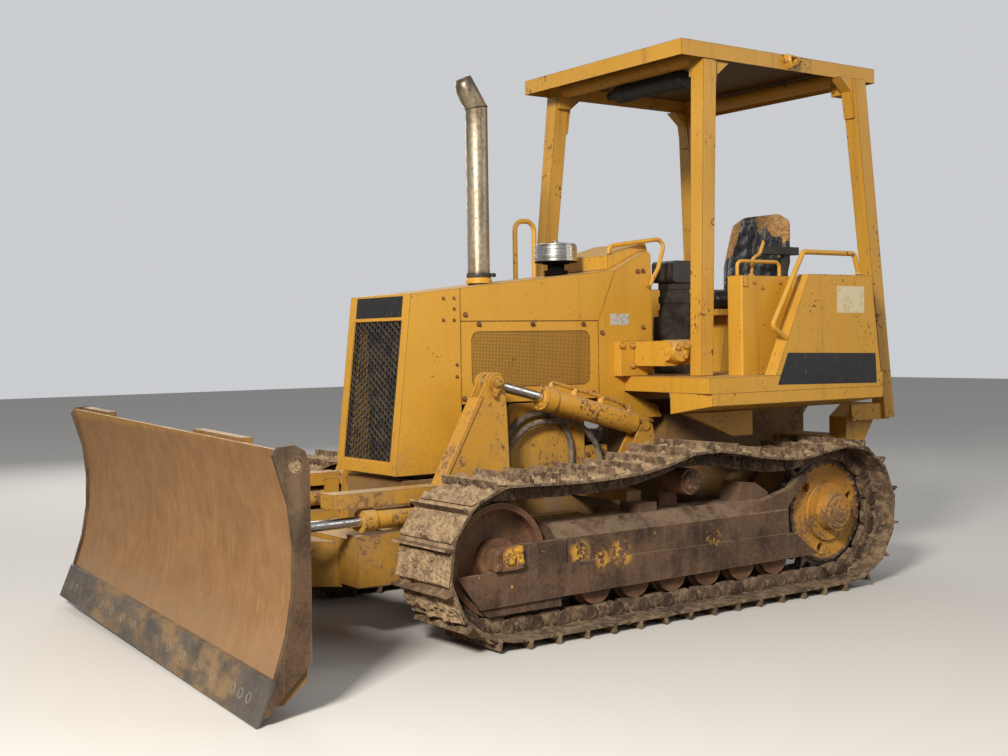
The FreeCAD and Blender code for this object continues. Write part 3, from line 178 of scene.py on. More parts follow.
class Look(Tree):
    """A material: a tree that feeds a Principled shader."""

    def __init__(self, name, roughness=0.5, metallic=0.0):
        self.material = bpy.data.materials.new(name)
        self.material.use_nodes = True
        super().__init__(self.material.node_tree)
        self.shader = self.tree.nodes["Principled BSDF"].inputs
        self.shader["Roughness"].default_value = roughness
        self.shader["Metallic"].default_value = metallic

    def finish(self, colour, roughness=None, relief=None, depth=0.001, strength=0.6):
        """Feeds the shader a colour, a roughness and a bump of a depth in metres, and gives the material."""
        self.tree.links.new(colour, self.shader["Base Color"])
        if roughness is not None:
            self.tree.links.new(roughness, self.shader["Roughness"])
        if relief is not None:
            bump = self.put("ShaderNodeBump", {"Height": relief, "Distance": depth, "Strength": strength})
            self.tree.links.new(bump, self.shader["Normal"])
        return self.material


floor_half = 30.0
floor_mesh = bpy.data.meshes.new("floor")
floor_mesh.from_pydata([(-floor_half, -floor_half, 0), (floor_half, -floor_half, 0),
                        (floor_half, floor_half, 0),
                        (-floor_half, floor_half, 0)], [], [(0, 1, 2, 3)])
floor = bpy.data.objects.new("floor", floor_mesh)
scene.collection.objects.link(floor)
ground = Look("pale_floor", 0.9)
seen_floor = ground.put("ShaderNodeLightPath", output="Is Camera Ray")
floor_mesh.materials.append(ground.finish(ground.mixed(seen_floor, (0.24, 0.21, 0.17), (0.66, 0.64, 0.61))))

# The yellow sheet metal: the hood, cowl, platform, fenders, tank and canopy. It is pressed and
# welded plate with old yellow paint. The paint is rubbed off at the edges, chipped to rust in small
# specks, stained in runs below the seams and dusty where it faces up.


class Group(Tree):
    """A node group. An input whose value is (r, g, b) is a colour, and so is the output Color."""

    def __init__(self, name, *outputs, **inputs):
        group = bpy.data.node_groups.new(name, "ShaderNodeTree")
        number, colour = "NodeSocketFloat", "NodeSocketColor"
        for key, value in inputs.items():
            tinted = isinstance(value, tuple)
            socket = group.interface.new_socket(key, in_out="INPUT", socket_type=colour if tinted else number)
            socket.default_value = (*value, 1) if tinted else value
        for key in outputs:
            group.interface.new_socket(key, in_out="OUTPUT", socket_type=colour if key == "Color" else number)
        super().__init__(group)
        self.given = self.node("NodeGroupInput").outputs

    def scaled(self, key):
        """The place times one of the group's own inputs."""
        return self.put("ShaderNodeVectorMath", {0: self.place, 3: self.given[key]}, operation="SCALE")

    def give(self, **values):
        """Feeds the group's outputs."""
        self.node("NodeGroupOutput", values)


edge_wear = Group("edge_wear", "Mask", Width=0.006)
soft_normal = edge_wear.put("ShaderNodeBevel", {"Radius": edge_wear.given["Width"]}, samples=4)
true_normal = edge_wear.put("ShaderNodeNewGeometry", output="Normal")
agreement = edge_wear.put("ShaderNodeVectorMath", {0: soft_normal, 1: true_normal}, "Value",
                          operation="DOT_PRODUCT")
edge_wear.give(Mask=edge_wear.band(agreement, 0.80, 0.99, 1.0, 0.0))

wear = Group("weathered_paint", "Color", "Roughness", "Height", Paint=(0.6, 0.3, 0.05),
             Rust=(0.10, 0.04, 0.015),
             Chips=0.4, Runs=0.3, Dust=0.4, Mud=0.3, Grain=1.0)
grain = wear.scaled("Grain")
patches = wear.noise(6.0, 5.0, at=grain)
fine = wear.noise(55.0, 5.0, 0.6, at=grain)
edges = wear.grouped(edge_wear)["Mask"]
worn = wear.plus(0.0, (patches, 0.45), (fine, 0.55), (edges, wear.times(fine, 0.58)))
chip_limit = wear.plus(0.715, (wear.given["Chips"], -0.22))
chips = wear.band(wear.maths("SUBTRACT", worn, chip_limit), 0.0, 0.025)
runs = wear.times(wear.band(wear.noise(1.0, 6.0, 0.6, (16, 16, 0.9)), 0.52, 0.74), wear.given["Runs"])
lying = wear.times(wear.band(wear.facing("Z"), 0.3, 0.95), wear.band(wear.maths("ADD", patches, fine), 0.75,
                                                                     1.15))
dust = wear.times(lying, wear.given["Dust"])
low_mud = wear.times(wear.band(wear.along("Z"), 1.25, 0.45),
                     wear.band(wear.plus(0.0, (fine, 0.4), (patches, 0.6)), 0.42, 0.62))
mud = wear.times(low_mud, wear.given["Mud"])
tone = wear.mixed(wear.band(wear.noise(1.3, 3.0), 0.35, 0.65, 0.0, 0.35), wear.given["Paint"],
                  (0.66, 0.37, 0.055))
tone = wear.mixed(wear.band(fine, 0.52, 0.72, 0.0, 0.3), tone, (0.36, 0.17, 0.02))
tone = wear.mixed(runs, tone, (0.27, 0.13, 0.028))
tone = wear.mixed(chips, tone, wear.mixed(wear.band(fine, 0.4, 0.7), wear.given["Rust"],
                                          (0.17, 0.065, 0.019)))
tone = wear.mixed(dust, wear.mixed(mud, tone, (0.235, 0.145, 0.072)), (0.46, 0.34, 0.20))
wear.give(Color=tone, Roughness=wear.band(wear.largest(chips, mud, dust), 0.0, 1.0, 0.46, 0.9),
          Height=wear.plus(0.0, (fine, 0.25), (chips, -0.6), (mud, fine)))


def paint_on(look, paint, rust=(0.09, 0.035, 0.015), chips=0.3, runs=0.3, dust=0.4, mud=0.3, grain=1.0):
    """The weathered paint in a material's tree, with its own colours and shares."""
    return look.grouped(wear, Paint=paint, Rust=rust, Chips=chips, Runs=runs, Dust=dust, Mud=mud, Grain=grain)


def painted(name, paint, **shares):
    """A material of old paint on plate or castings."""
    look = Look(name)
    worn_paint = paint_on(look, paint, **shares)
    return look.finish(worn_paint["Color"], worn_paint["Roughness"], worn_paint["Height"], 0.0012)


def coat(material, *names):
    """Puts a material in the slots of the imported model's nodes."""
    for name in names:
        mesh = nodes[name].data
        if not mesh.materials:
            mesh.materials.append(material)
        for index in range(len(mesh.materials)):
            mesh.materials[index] = material


hood_yellow = (0.575, 0.292, 0.026)
canopy_yellow = (0.51, 0.26, 0.026)
hood_paint = painted("hood_paint", hood_yellow, chips=0.40, runs=0.25, dust=0.55, mud=0.5)
coat(hood_paint, "nose_shell", "hood_top", "engine_panels", "dash_cowl", "instrument_box")
deck_paint = painted("deck_paint", hood_yellow, chips=0.52, dust=0.6, mud=0.45)
coat(deck_paint, "platform", "platform_skirts", "fender_left", "fender_right", "fuel_tank", "grab_bars",
     "canopy_mounts", "seat_base")
coat(painted("canopy_paint", canopy_yellow, chips=0.56, runs=0.45, dust=0.25, mud=0.0), "canopy_hoops")
# The roof's faces that point down are mixed to near black: painted shade under the roof, over its worn yellow
# paint.
roof = Look("canopy_roof_paint_shaded_underside")
roof_paint = paint_on(roof, canopy_yellow, chips=0.5, runs=0.5, dust=0.3, mud=0.0)
roof_tone_with_painted_shade = roof.mixed(roof.band(roof.facing("Z"), -0.4, -0.9, 0.0, 0.9), roof_paint["Color"],
                       (0.055, 0.030, 0.010))
coat(roof.finish(roof_tone_with_painted_shade, roof_paint["Roughness"], roof_paint["Height"], 0.0012), "canopy_roof")

# The small fastenings of the hood. Hexagon head screws on washers hold the engine panels under the
# seam, and blank square-cornered plates sit where a maker would put a name and the machine's data.
axle = -1.408


def at(x, y, z):
    """A place whose x is measured ahead of the sprockets' axle."""
    return np.array((axle + x, y, z))


def on_wall(y, *spots):
    """Places (x, z) on an upright wall that runs lengthwise, with x ahead of the axle."""
    return np.array([(axle + x, y, z) for x, z in spots])


def rectangle(y, x0, x1, z0, z1):
    """A rectangle's corners on an upright lengthwise wall."""
    return on_wall(y, (x0, z0), (x1, z0), (x1, z1), (x0, z1))


def grid_faces(rows, columns):
    """Quads between neighbours of a grid whose columns run round and whose rows are open."""
    row = np.arange(rows - 1)[:, None]
    column = np.arange(columns)[None, :]
    beside = (column + 1) % columns
    corners = (row * columns + column, row * columns + beside, (row + 1) * columns + beside,
               (row + 1) * columns + column)
    return np.stack(corners, axis=-1).reshape(-1, 4)


def many(points, faces):
    """Repeats the faces of one form for a stack of forms, an array of (form, point, 3)."""
    count, size = points.shape[:2]
    return points.reshape(-1, 3), (faces[None] + size * np.arange(count)[:, None, None]).reshape(-1, 4)


def across(axis):
    """An axis of length one, and two directions at right angles to it and to each other."""
    axis = np.array(axis, float) / np.linalg.norm(axis)
    helper = np.array((0.0, 0.0, 1.0)) if abs(axis[2]) < 0.9 else np.array((1.0, 0.0, 0.0))
    first = np.cross(helper, axis)
    first /= np.linalg.norm(first)
    return axis, first, np.cross(axis, first)


def round_forms(places, axis, radii, heights, columns):
    """Forms turned about an axis: place + radius * (cos t * first + sin t * second) + height * axis."""
    axis, first, second = across(axis)
    angle = np.arange(columns) * 2 * np.pi / columns
    circle = np.cos(angle)[:, None] * first + np.sin(angle)[:, None] * second
    radii = np.broadcast_to(radii, (len(heights), columns))
    form = radii[..., None] * circle[None] + heights[:, None, None] * axis
    points = np.array(places, float).reshape(-1, 1, 3) + form.reshape(1, -1, 3)
    return many(points, grid_faces(len(heights), columns))


def turned(places, axis, profile, columns=32):
    """The same form at each place, turned about an axis from a profile of (radius, height)."""
    profile = np.array(profile, float)
    return round_forms(places, axis, profile[:, :1], profile[:, 1], columns)


def screws(places, axis, size):
    """Six-sided heads on round washers. The head's radius alternates between its corners and its flats."""
    six = np.tile((1.1547, 1.0), 6)
    radii = np.array([six * 0 + 1.55, six * 0 + 1.55, six * 0 + 1.45, six, six, six * 0.84, six * 0])
    return round_forms(places, axis, radii * size, np.array((-0.3, 0.22, 0.28, 0.28, 0.95, 1.15,
                                                             1.15)) * size, 12)


def plaque(outline, way, thickness=1.0):
    """A thin plate: its outline and the same moved by way * thickness, both closed to their middles."""
    outline = np.array(outline, float)
    depth = np.array(way, float) * thickness
    middle = np.repeat(outline.mean(axis=0)[None], len(outline), axis=0)
    rows = np.concatenate((middle, outline, outline + depth, middle + depth))
    return many(rows[None], grid_faces(4, len(outline)))


def sides(make, places, *sizes):
    """The form that make(places, outwards, sizes) gives on the left side, and its mirror image."""
    return [make(np.array(places) * (1, hand, 1), np.array((0, hand, 0)), *sizes) for hand in (1, -1)]


def add_piece(name, forms, look, body="chassis", closed=True, smooth=False):
    """Joins forms into one object. Points that coincide become one, and faces that shrink to a line go."""
    starts = np.cumsum([0] + [len(form[0]) for form in forms[:-1]])
    points = np.concatenate([form[0] for form in forms])
    quads = np.concatenate([form[1] + start for form, start in zip(forms, starts)])
    kept, index = np.unique(points.round(6), axis=0, return_inverse=True)
    quads = index.reshape(-1)[quads]
    same = quads == np.roll(quads, -1, axis=1)
    whole = quads[same.sum(axis=1) == 0]
    folded = same.sum(axis=1) == 1
    thirds = quads[folded][~same[folded]].reshape(-1, 3)
    mesh = bpy.data.meshes.new(name)
    mesh.from_pydata(kept.tolist(), [], whole.tolist() + thirds.tolist())
    if closed:
        work = bmesh.new()
        work.from_mesh(mesh)
        bmesh.ops.recalc_face_normals(work, faces=work.faces)
        work.to_mesh(mesh)
        work.free()
    mesh.polygons.foreach_set("use_smooth", np.full(len(mesh.polygons), smooth))
    mesh.materials.append(look)
    piece = bpy.data.objects.new(name, mesh)
    scene.collection.objects.link(piece)
    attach(piece, body)
    return piece


screw_steel = painted("screw_steel", (0.22, 0.10, 0.025), rust=(0.05, 0.022, 0.012), chips=0.95, runs=0.2,
                      dust=0.15, mud=0.1)
hood_side = 0.273
panel_screws = on_wall(hood_side, (1.887, 1.421), (1.810, 1.376), (1.494, 1.375), (1.180, 1.373),
                       (0.818, 1.641),
                       (0.782, 1.644), (0.787, 1.356), (1.90, 1.03), (1.12, 1.03), (1.06, 0.96), (1.06, 1.33))
nose_screws = on_wall(hood_side, (2.007, 1.496), (1.949, 1.497), (1.948, 1.448), (2.009, 1.396),
                      (1.949, 1.396),
                      (1.937, 1.189), (1.938, 1.134))
add_piece("hood_screws", sides(screws, panel_screws, 0.0085) + sides(screws, nose_screws, 0.0055),
          screw_steel)

film = Look("black_film", 0.42)
scuffs = film.band(film.noise(3.0, 8.0, 0.7, (40, 40, 6)), 0.60, 0.68, 0.0, 0.8)
black_film = film.finish(film.mixed(scuffs, (0.014, 0.014, 0.016), (0.30, 0.19, 0.07)),
                         film.band(film.noise(9.0), 0.3, 0.7, 0.35, 0.6))
low_front, high_front = (2.273, 0.744), (2.181, 1.516)


def nose_face(z):
    """Place of the sloping nose at a height: a straight line between its two corners."""
    share = (z - low_front[1]) / (high_front[1] - low_front[1])
    return axle + low_front[0] + share * (high_front[0] - low_front[0])


fender_side = 0.951
name_band = [(nose_face(z) + 0.0008, y, z) for y, z in ((-0.208, 1.412), (0.208, 1.412), (0.208, 1.508),
                                                        (-0.208, 1.508))]
fender_band = on_wall(fender_side, (0.525, 1.064), (0.453, 1.218), (-0.204, 1.205), (-0.212, 1.052))
add_piece("blank_bands", [plaque(name_band, (-0.0012, 0, 0))] + sides(plaque, fender_band, -0.0015),
          black_film)

plate = Look("worn_plate", 0.38, 0.25)
tarnish = plate.noise(60.0, 5.0, 0.65)
worn_plate = plate.finish(plate.mixed(plate.band(tarnish, 0.42, 0.62), (0.62, 0.62, 0.58),
                                      (0.42, 0.38, 0.30)),
                          plate.band(tarnish, 0.3, 0.7, 0.3, 0.65))
plate_side = 0.2738
plate_screws = on_wall(plate_side, (0.889, 1.375), (0.889, 1.418), (0.997, 1.375), (0.997, 1.418))
add_piece("data_plate", [plaque(rectangle(plate_side, 0.882, 1.004, 1.368, 1.425), (0, -0.0012, 0)),
                         screws(plate_screws, (0, 1, 0), 0.0028)], worn_plate)
pale = Look("pale_film", 0.5)
rubbed = pale.noise(30.0, 7.0, 0.7)
pale_film = pale.finish(pale.mixed(pale.band(rubbed, 0.50, 0.68), (0.66, 0.56, 0.36), (0.52, 0.34, 0.10)),
                        pale.band(rubbed, 0.3, 0.7, 0.4, 0.7))
add_piece("pale_plate", [plaque(rectangle(fender_side, -0.118, 0.09, 1.411, 1.546), (0, -0.0015, 0))],
          pale_film)

# The fastenings of the platform and canopy: flanged and bolted front mounts, the feet of the
# fender's inner rail, welded hand rail feet and a lamp bracket at the roof's edge.


def bolt_circle(x, y, z, radius, angles):
    """Places on a circle about a crosswise axis: x + radius * cos t and z + radius * sin t."""
    return on_wall(y, *zip(x + radius * np.cos(angles), z + radius * np.sin(angles)))


flange = [(0, 0), (0.052, 0), (0.052, 0.066), (0.048, 0.071), (0.024, 0.072), (0.020, 0.068), (0, 0.068)]
mount_bolts = on_wall(0.336, (0.920, 1.263), (0.920, 1.162), (0.985, 1.263))
rail_bolts = on_wall(0.8, (0.526, 1.566), (0.342, 1.566), (0.469, 1.540))
deck_forms = (sides(screws, mount_bolts, 0.0115) + sides(turned, at(0.852, 0.556, 1.232), flange, 28)
              + sides(screws, bolt_circle(0.852, 0.628, 1.232, 0.034, (0.6, 2.4, 4.0)), 0.0095))
for y in (0.936, -0.936):
    deck_forms += [turned(at(-0.095, y, 1.607), (0, 0, 1), [(0.013, 0), (0.021, 0), (0.015, 0.012),
                                                            (0.013, 0.012)],
                          16),
                   turned(at(0.4509, y, 1.2902), (-0.866, 0, -0.5), [(0, 0), (0.0155, 0), (0.0155, 0.008),
                                                                     (0, 0.012)], 16)]
for x in (0.59, 0.29):
    rail_foot = on_wall(0.8005, (x - 0.017, 1.545), (x + 0.017, 1.545), (x + 0.014, 1.590),
                        (x - 0.014, 1.590))
    deck_forms.append(plaque(rail_foot, (0, 0.006, 0)))
deck_forms.append(screws(rail_bolts, (0, 1, 0), 0.0075))
bracket = np.array([(-0.07, 0, 0.026), (0.08, 0, 0.031), (0.08, 0, -0.005), (0.03, 0, -0.038),
                    (-0.07, 0, -0.022)])
bracket_rows = [at(0.075, 0.634 + out, 2.722) + bracket * (0.5 * size, 0, size) for size, out in (
    (0, 0), (1, 0), (1.0, 0.030), (0.75, 0.040), (0.55, 0.040), (0.4, 0.012), (0, 0.012))]
deck_forms.append(many(np.concatenate(bracket_rows)[None], grid_faces(len(bracket_rows), len(bracket))))
add_piece("deck_fastenings", deck_forms, deck_paint)

# The engine panels' screens. They are expanded metal, a sheet slit and stretched into small
# diamonds, spot welded behind the rounded window of each panel and painted with it.
mesh_look = Look("expanded_metal", 0.6)
waves = [mesh_look.maths("SINE", mesh_look.times(mesh_look.plus(mesh_look.along("Z"),
                                                                (mesh_look.along("X"), lean)),
                                                 470.0)) for lean in (0.80, -0.80)]
# The diamonds' holes are painted dark brown: painted shade of the engine bay seen through them. The same mask
# sinks them in the bump.
shaded_holes = mesh_look.band(mesh_look.times(*waves), -0.45, 0.55)
mesh_paint = paint_on(mesh_look, (0.47, 0.235, 0.022), chips=0.45, runs=0.6, dust=0.2)
expanded_metal = mesh_look.finish(mesh_look.mixed(shaded_holes, mesh_paint["Color"], (0.085, 0.045, 0.011)),
                                  mesh_paint["Roughness"], mesh_look.maths("SUBTRACT", 1.0, shaded_holes), 0.0015)
half_window, corner_radius = (0.314, 0.091), 0.04
corner_angle = np.radians(np.arange(0, 360, 10) + 5)
corner_x = np.sign(np.cos(corner_angle)) * half_window[0] + corner_radius * np.cos(corner_angle)
corner_z = np.sign(np.sin(corner_angle)) * half_window[1] + corner_radius * np.sin(corner_angle)
window = on_wall(0.2712, *zip(1.4965 + corner_x, 1.209 + corner_z))
add_piece("panel_screens", sides(plaque, window, -0.0025), expanded_metal)

# The grille, radiator and engine that show dark through the openings. The grille is a honeycomb cut
# from steel sheet, with old black paint and a little dust, and the rest is oily cast iron. The
# roof's cylinder hangs from two straps behind the front hoop.


def sooty(name, base, dusty, share):
    """Black paint or oily iron with dust on it, in clouds and on what faces up."""
    look = Look(name, 0.55)
    clouds = look.noise(14.0, 7.0, 0.65)
    dusted = look.times(look.band(look.facing("Z"), -0.2, 0.9, 0.4, 1.0),
                        look.band(clouds, 0.38, 0.62, 0.0, share))
    return look.finish(look.mixed(dusted, base, dusty), look.band(clouds, 0.35, 0.65, 0.42, 0.75), clouds,
                       0.0008)


grille_paint = sooty("grille_paint", (0.022, 0.022, 0.023), (0.16, 0.11, 0.06), 0.55)
coat(grille_paint, "grille")
cell, web = 0.0305, 0.006
cell_step = cell * math.sqrt(3) / 2
cell_centres = np.array([(column * cell_step, 0.756 + cell * (row + 0.5 * (column % 2)))
                         for column in range(-8, 9) for row in range(22)])
six_angles = np.arange(6) * np.pi / 3
corner = np.stack((np.cos(six_angles), np.sin(six_angles)), axis=1)
cell_rings = np.array((cell, cell - web, cell - web, cell)) / math.sqrt(3)
cell_depths = np.array((0.0045, 0.0045, 0.0125, 0.0125))
flat_cells = cell_centres[:, None, None] + cell_rings[None, :, None, None] * corner[None, None]
cell_y = np.clip(flat_cells[..., 0], -0.2235, 0.2235)
cell_z = np.clip(flat_cells[..., 1], 0.747, 1.4055)
cell_points = np.stack((nose_face(cell_z) - cell_depths[None, :, None], cell_y, cell_z), axis=-1)
honeycomb = add_piece("grille_honeycomb", [many(cell_points.reshape(len(cell_centres), -1, 3),
                                                grid_faces(4, 6))],
                      grille_paint)
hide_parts("grille")
oily_iron = sooty("oily_iron", (0.020, 0.017, 0.014), (0.13, 0.085, 0.05), 0.7)
coat(oily_iron, "engine_block", "radiator")
black_tank = sooty("black_tank", (0.008, 0.008, 0.009), (0.05, 0.038, 0.026), 0.4)
tank_profile = [(0, -0.205), (0.021, -0.203), (0.023, -0.150), (0.032, -0.146), (0.036, -0.132),
                (0.048, -0.122),
                (0.048, 0.385), (0.042, 0.400), (0.0, 0.412)]
tank_forms = [turned(at(0.585, 0, 2.622), (0, 1, 0), tank_profile, 28)]
for y in (-0.06, 0.33):
    strap = [at(0.581, y - 0.015, 2.66), at(0.581, y + 0.015, 2.66), at(0.581, y + 0.015, 2.7495),
             at(0.581, y - 0.015, 2.7495)]
    hoop = [(0.048, -0.014), (0.0505, -0.014), (0.0505, 0.014), (0.048, 0.014)]
    tank_forms += [plaque(strap, (0.008, 0, 0)), turned(at(0.585, y, 2.622), (0, 1, 0), hoop, 28)]
add_piece("roof_cylinder", tank_forms, black_tank)

# The exhaust stack. It is a drawn steel pipe, cut and welded to a leaning tip, held in a clamp at
# the hood. The heat has left it a dull straw grey with darker runs and a sooty mouth.
stack = Look("satin_steel", 0.4, 0.8)
stack_fine = stack.noise(40.0, 5.0)
stack_runs = stack.band(stack.noise(2.0, 6.0, 0.6, (14, 14, 1.2)), 0.4, 0.68)
stack_tone = stack.mixed(stack_runs, (0.46, 0.395, 0.295), (0.25, 0.18, 0.105))
stack_tone = stack.mixed(stack.band(stack_fine, 0.58, 0.72, 0.0, 0.5), stack_tone, (0.16, 0.09, 0.05))
stack_tone = stack.mixed(stack.band(stack.along("Z"), 2.47, 2.56, 0.0, 0.75), stack_tone, (0.09, 0.07, 0.055))
stack_tone = stack.mixed(stack.band(stack.along("Z"), 1.66, 1.60), stack_tone, (0.07, 0.05, 0.04))
satin_steel = stack.finish(stack_tone, stack.band(stack_fine, 0.35, 0.7, 0.34, 0.62), stack_fine, 0.0006, 0.4)
coat(satin_steel, "exhaust_stack")
pipe_x, pipe_radius, pipe_wall = 1.616, 0.0545, 0.004
bend_start, bend_tilt = 2.441, 9.3
tip_rings = [(0, 1.545, 0, pipe_radius), (0, 2.30, 0, pipe_radius), (0, bend_start, bend_tilt, 0.0550),
             (0.030, 2.484, 15, pipe_radius), (0.0556, 2.523, 20, 0.0525), (0.069, 2.552, 23, 0.0475),
             (0.0765, 2.577, 25.7, 0.0405)]
inner_rings = [(x, z, tilt, radius - pipe_wall) for x, z, tilt,
               radius in tip_rings[:0:-1]] + [(0, 2.30, 0, 0.0)]
ring_turn = np.arange(40) * np.pi / 20
stack_rows = []
for ahead, z, tilt, radius in tip_rings + inner_rings:
    reach = radius * np.cos(ring_turn)
    stack_rows.append(np.stack((axle + pipe_x + ahead + reach * math.cos(math.radians(tilt)),
                                radius * np.sin(ring_turn), z - reach * math.sin(math.radians(tilt))),
                               axis=1))
stack_pipe = add_piece("stack_pipe", [many(np.concatenate(stack_rows)[None],
                                           grid_faces(len(stack_rows), 40))],
                       satin_steel, smooth=True)
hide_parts("exhaust_stack")
lean = math.radians(bend_tilt)
weld = [(pipe_radius, -0.005), (0.0582, 0.0), (pipe_radius, 0.005)]
clamp = [(pipe_radius, 0), (0.0600, 0), (0.0612, 0.011), (0.0600, 0.022), (pipe_radius, 0.022)]
collar = [(pipe_radius, 0), (0.0640, 0), (0.0640, 0.016), (0.0590, 0.028), (pipe_radius, 0.029)]
clamp_lug = [at(pipe_x - 0.066, 0.030, 1.612), at(pipe_x - 0.040, 0.048, 1.612),
             at(pipe_x - 0.040, 0.048, 1.630),
             at(pipe_x - 0.066, 0.030, 1.630)]
add_piece("stack_fittings", [turned(at(pipe_x, 0, bend_start), (math.sin(lean), 0, math.cos(lean)), weld, 40),
                             turned(at(pipe_x, 0, 1.609), (0, 0, 1), clamp, 40),
                             plaque(clamp_lug, (-0.006, 0.010, 0)),
                             screws(at(pipe_x - 0.060, 0.046, 1.621), (-0.57, 0.82, 0), 0.007)], oily_iron)
add_piece("stack_collar", [turned(at(pipe_x, 0, 1.580), (0, 0, 1), collar, 40)], deck_paint)

# The air precleaner. A spun bowl of bright steel sits under a flat lid on the air cleaner's neck,
# with a rolled rim, a nut in the middle and fine turning marks.
bowl = Look("spun_steel", 0.22, 1.0)
bowl_rings = bowl.noise(2.0, 6.0, 0.6, (1.5, 1.5, 160))
bowl_dirt = bowl.band(bowl.noise(18.0, 6.0, 0.65), 0.5, 0.72, 0.0, 0.7)
bowl_neck = bowl.band(bowl.along("Z"), 1.7005, 1.6995)
bowl_tone = bowl.mixed(bowl_neck, bowl.mixed(bowl_dirt, (0.62, 0.61, 0.58), (0.25, 0.20, 0.14)),
                       (0.022, 0.02, 0.018))
spun_steel = bowl.finish(bowl_tone, bowl.largest(bowl_neck, bowl.band(bowl_rings, 0.35, 0.65, 0.14, 0.42)),
                         bowl_rings, 0.0004, 0.3)
coat(spun_steel, "precleaner")
cleaner_x = 1.133
lid = [(0.098, -0.006), (0.104, -0.003), (0.104, 0.002), (0.098, 0.005), (0.03, 0.012), (0.012, 0.013),
       (0, 0.013)]
rolled_rim = [(0.108, -0.005), (0.1125, -0.003), (0.1125, 0.003), (0.108, 0.005)]
add_piece("precleaner_rims", [turned(at(cleaner_x, 0, 1.7835), (0, 0, 1), lid, 48),
                              turned(at(cleaner_x, 0, 1.716), (0, 0, 1), rolled_rim, 48),
                              screws(at(cleaner_x, 0, 1.7960), (0, 0, 1), 0.011)], spun_steel)

# The frame, push frame, towers and yoke. They are thick welded plate, painted once and scraped by
# the ground ever since, so rust shows in large patches and earth cakes their lower sides.
coat(painted("frame_paint", (0.44, 0.22, 0.027), chips=0.60, runs=0.4, dust=0.75, mud=0.55, grain=0.8),
     "c_frame", "arm_guards", "angle_brackets", "yoke")
tower_paint = painted("tower_paint", (0.50, 0.25, 0.026), chips=0.66, runs=0.4, dust=0.5, mud=0.6)
coat(tower_paint, "lift_towers", "side_housings")
# The final drives, drawbar, blade back, main frame and equaliser bar get a dark brown paint with much mud.
# This is partly dirt and partly painted shade of the shadow under the platform and behind the tracks and
# blade.
coat(painted("drive_paint_muddy_and_shaded", (0.17, 0.09, 0.025), chips=0.8, runs=0.5, dust=0.8, mud=1.0),
     "final_drives", "drawbar", "blade_back", "main_frame", "equalizer_bar")
arm_caps = bolt_circle(1.04, 0.509, 0.40, 0.036, (0.5, 2.6, 4.7))
housing_screws = on_wall(0.484, (1.006, 0.892), (0.93, 0.892))
clamp_screws = on_wall(0.312, (1.085, 0.731), (1.195, 0.731))
add_piece("chassis_screws", sides(screws, arm_caps, 0.011) + sides(screws, housing_screws, 0.009)
          + sides(screws, clamp_screws, 0.009), screw_steel)
lift_pin = (1.870, 1.106)
keeper_angle = np.radians(np.arange(0, 360, 15))
keeper_share = np.cos(keeper_angle - math.radians(285))
keeper_reach = np.maximum(0.037, 0.070 * keeper_share ** 9 * (keeper_share > 0))
keeper_plate = bolt_circle(lift_pin[0], 0.4945, lift_pin[1], keeper_reach, keeper_angle)
add_piece("tower_pin_screws", sides(plaque, keeper_plate, 0.0055) + sides(screws, on_wall(0.501, lift_pin),
                                                                          0.015)
          + sides(screws, at(1.884, 0.499, 1.052), 0.0085), tower_paint, "c_frame")

# The crawler tracks. Each is a chain of forged links with steel shoes bolted to it. The links and
# pin bosses are worn dark, and the shoes are bare steel under dry, pale, caked earth.
iron = Group("worn_iron", "Color", "Roughness", "Height", Dark=(0.07, 0.035, 0.018), Light=(0.2, 0.11, 0.06),
             Rubbed=(0.3, 0.24, 0.18), Edge=0.5, Streaks=0.3, Scale=1.0)
iron_place = iron.scaled("Scale")
clouds = iron.noise(5.0, 6.0, 0.6, at=iron_place)
pits = iron.noise(70.0, 5.0, 0.65, at=iron_place)
streaks = iron.band(iron.noise(1.6, 7.0, 0.65, (14, 14, 1.0), iron_place), 0.45, 0.70)
browns = iron.plus(0.0, (clouds, 0.65), (pits, 0.35))
rubbed_edges = iron.times(iron.grouped(edge_wear)["Mask"], iron.band(clouds, 0.35, 0.6))
tone = iron.mixed(iron.band(browns, 0.38, 0.62), iron.given["Dark"], iron.given["Light"])
tone = iron.mixed(iron.times(streaks, iron.given["Streaks"]), tone, iron.given["Rubbed"])
tone = iron.mixed(iron.times(rubbed_edges, iron.given["Edge"]), tone, iron.given["Rubbed"])
iron.give(Color=tone, Roughness=iron.band(browns, 0.35, 0.65, 0.55, 0.9),
          Height=iron.plus(clouds, (pits, 0.5)))


def iron_on(look, dark, light, rubbed, edge=0.5, streaks=0.3, scale=1.0):
    """Worn bare iron in a material's tree: two browns in clouds and streaks, with paler rubbed edges."""
    return look.grouped(iron, Dark=dark, Light=light, Rubbed=rubbed, Edge=edge, Streaks=streaks, Scale=scale)


def iron_look(name, *tones):
    """A material of worn bare iron."""
    look = Look(name, 0.7, 0.1)
    worn_iron = iron_on(look, *tones)
    return look.finish(worn_iron["Color"], worn_iron["Roughness"], worn_iron["Height"], 0.0015)


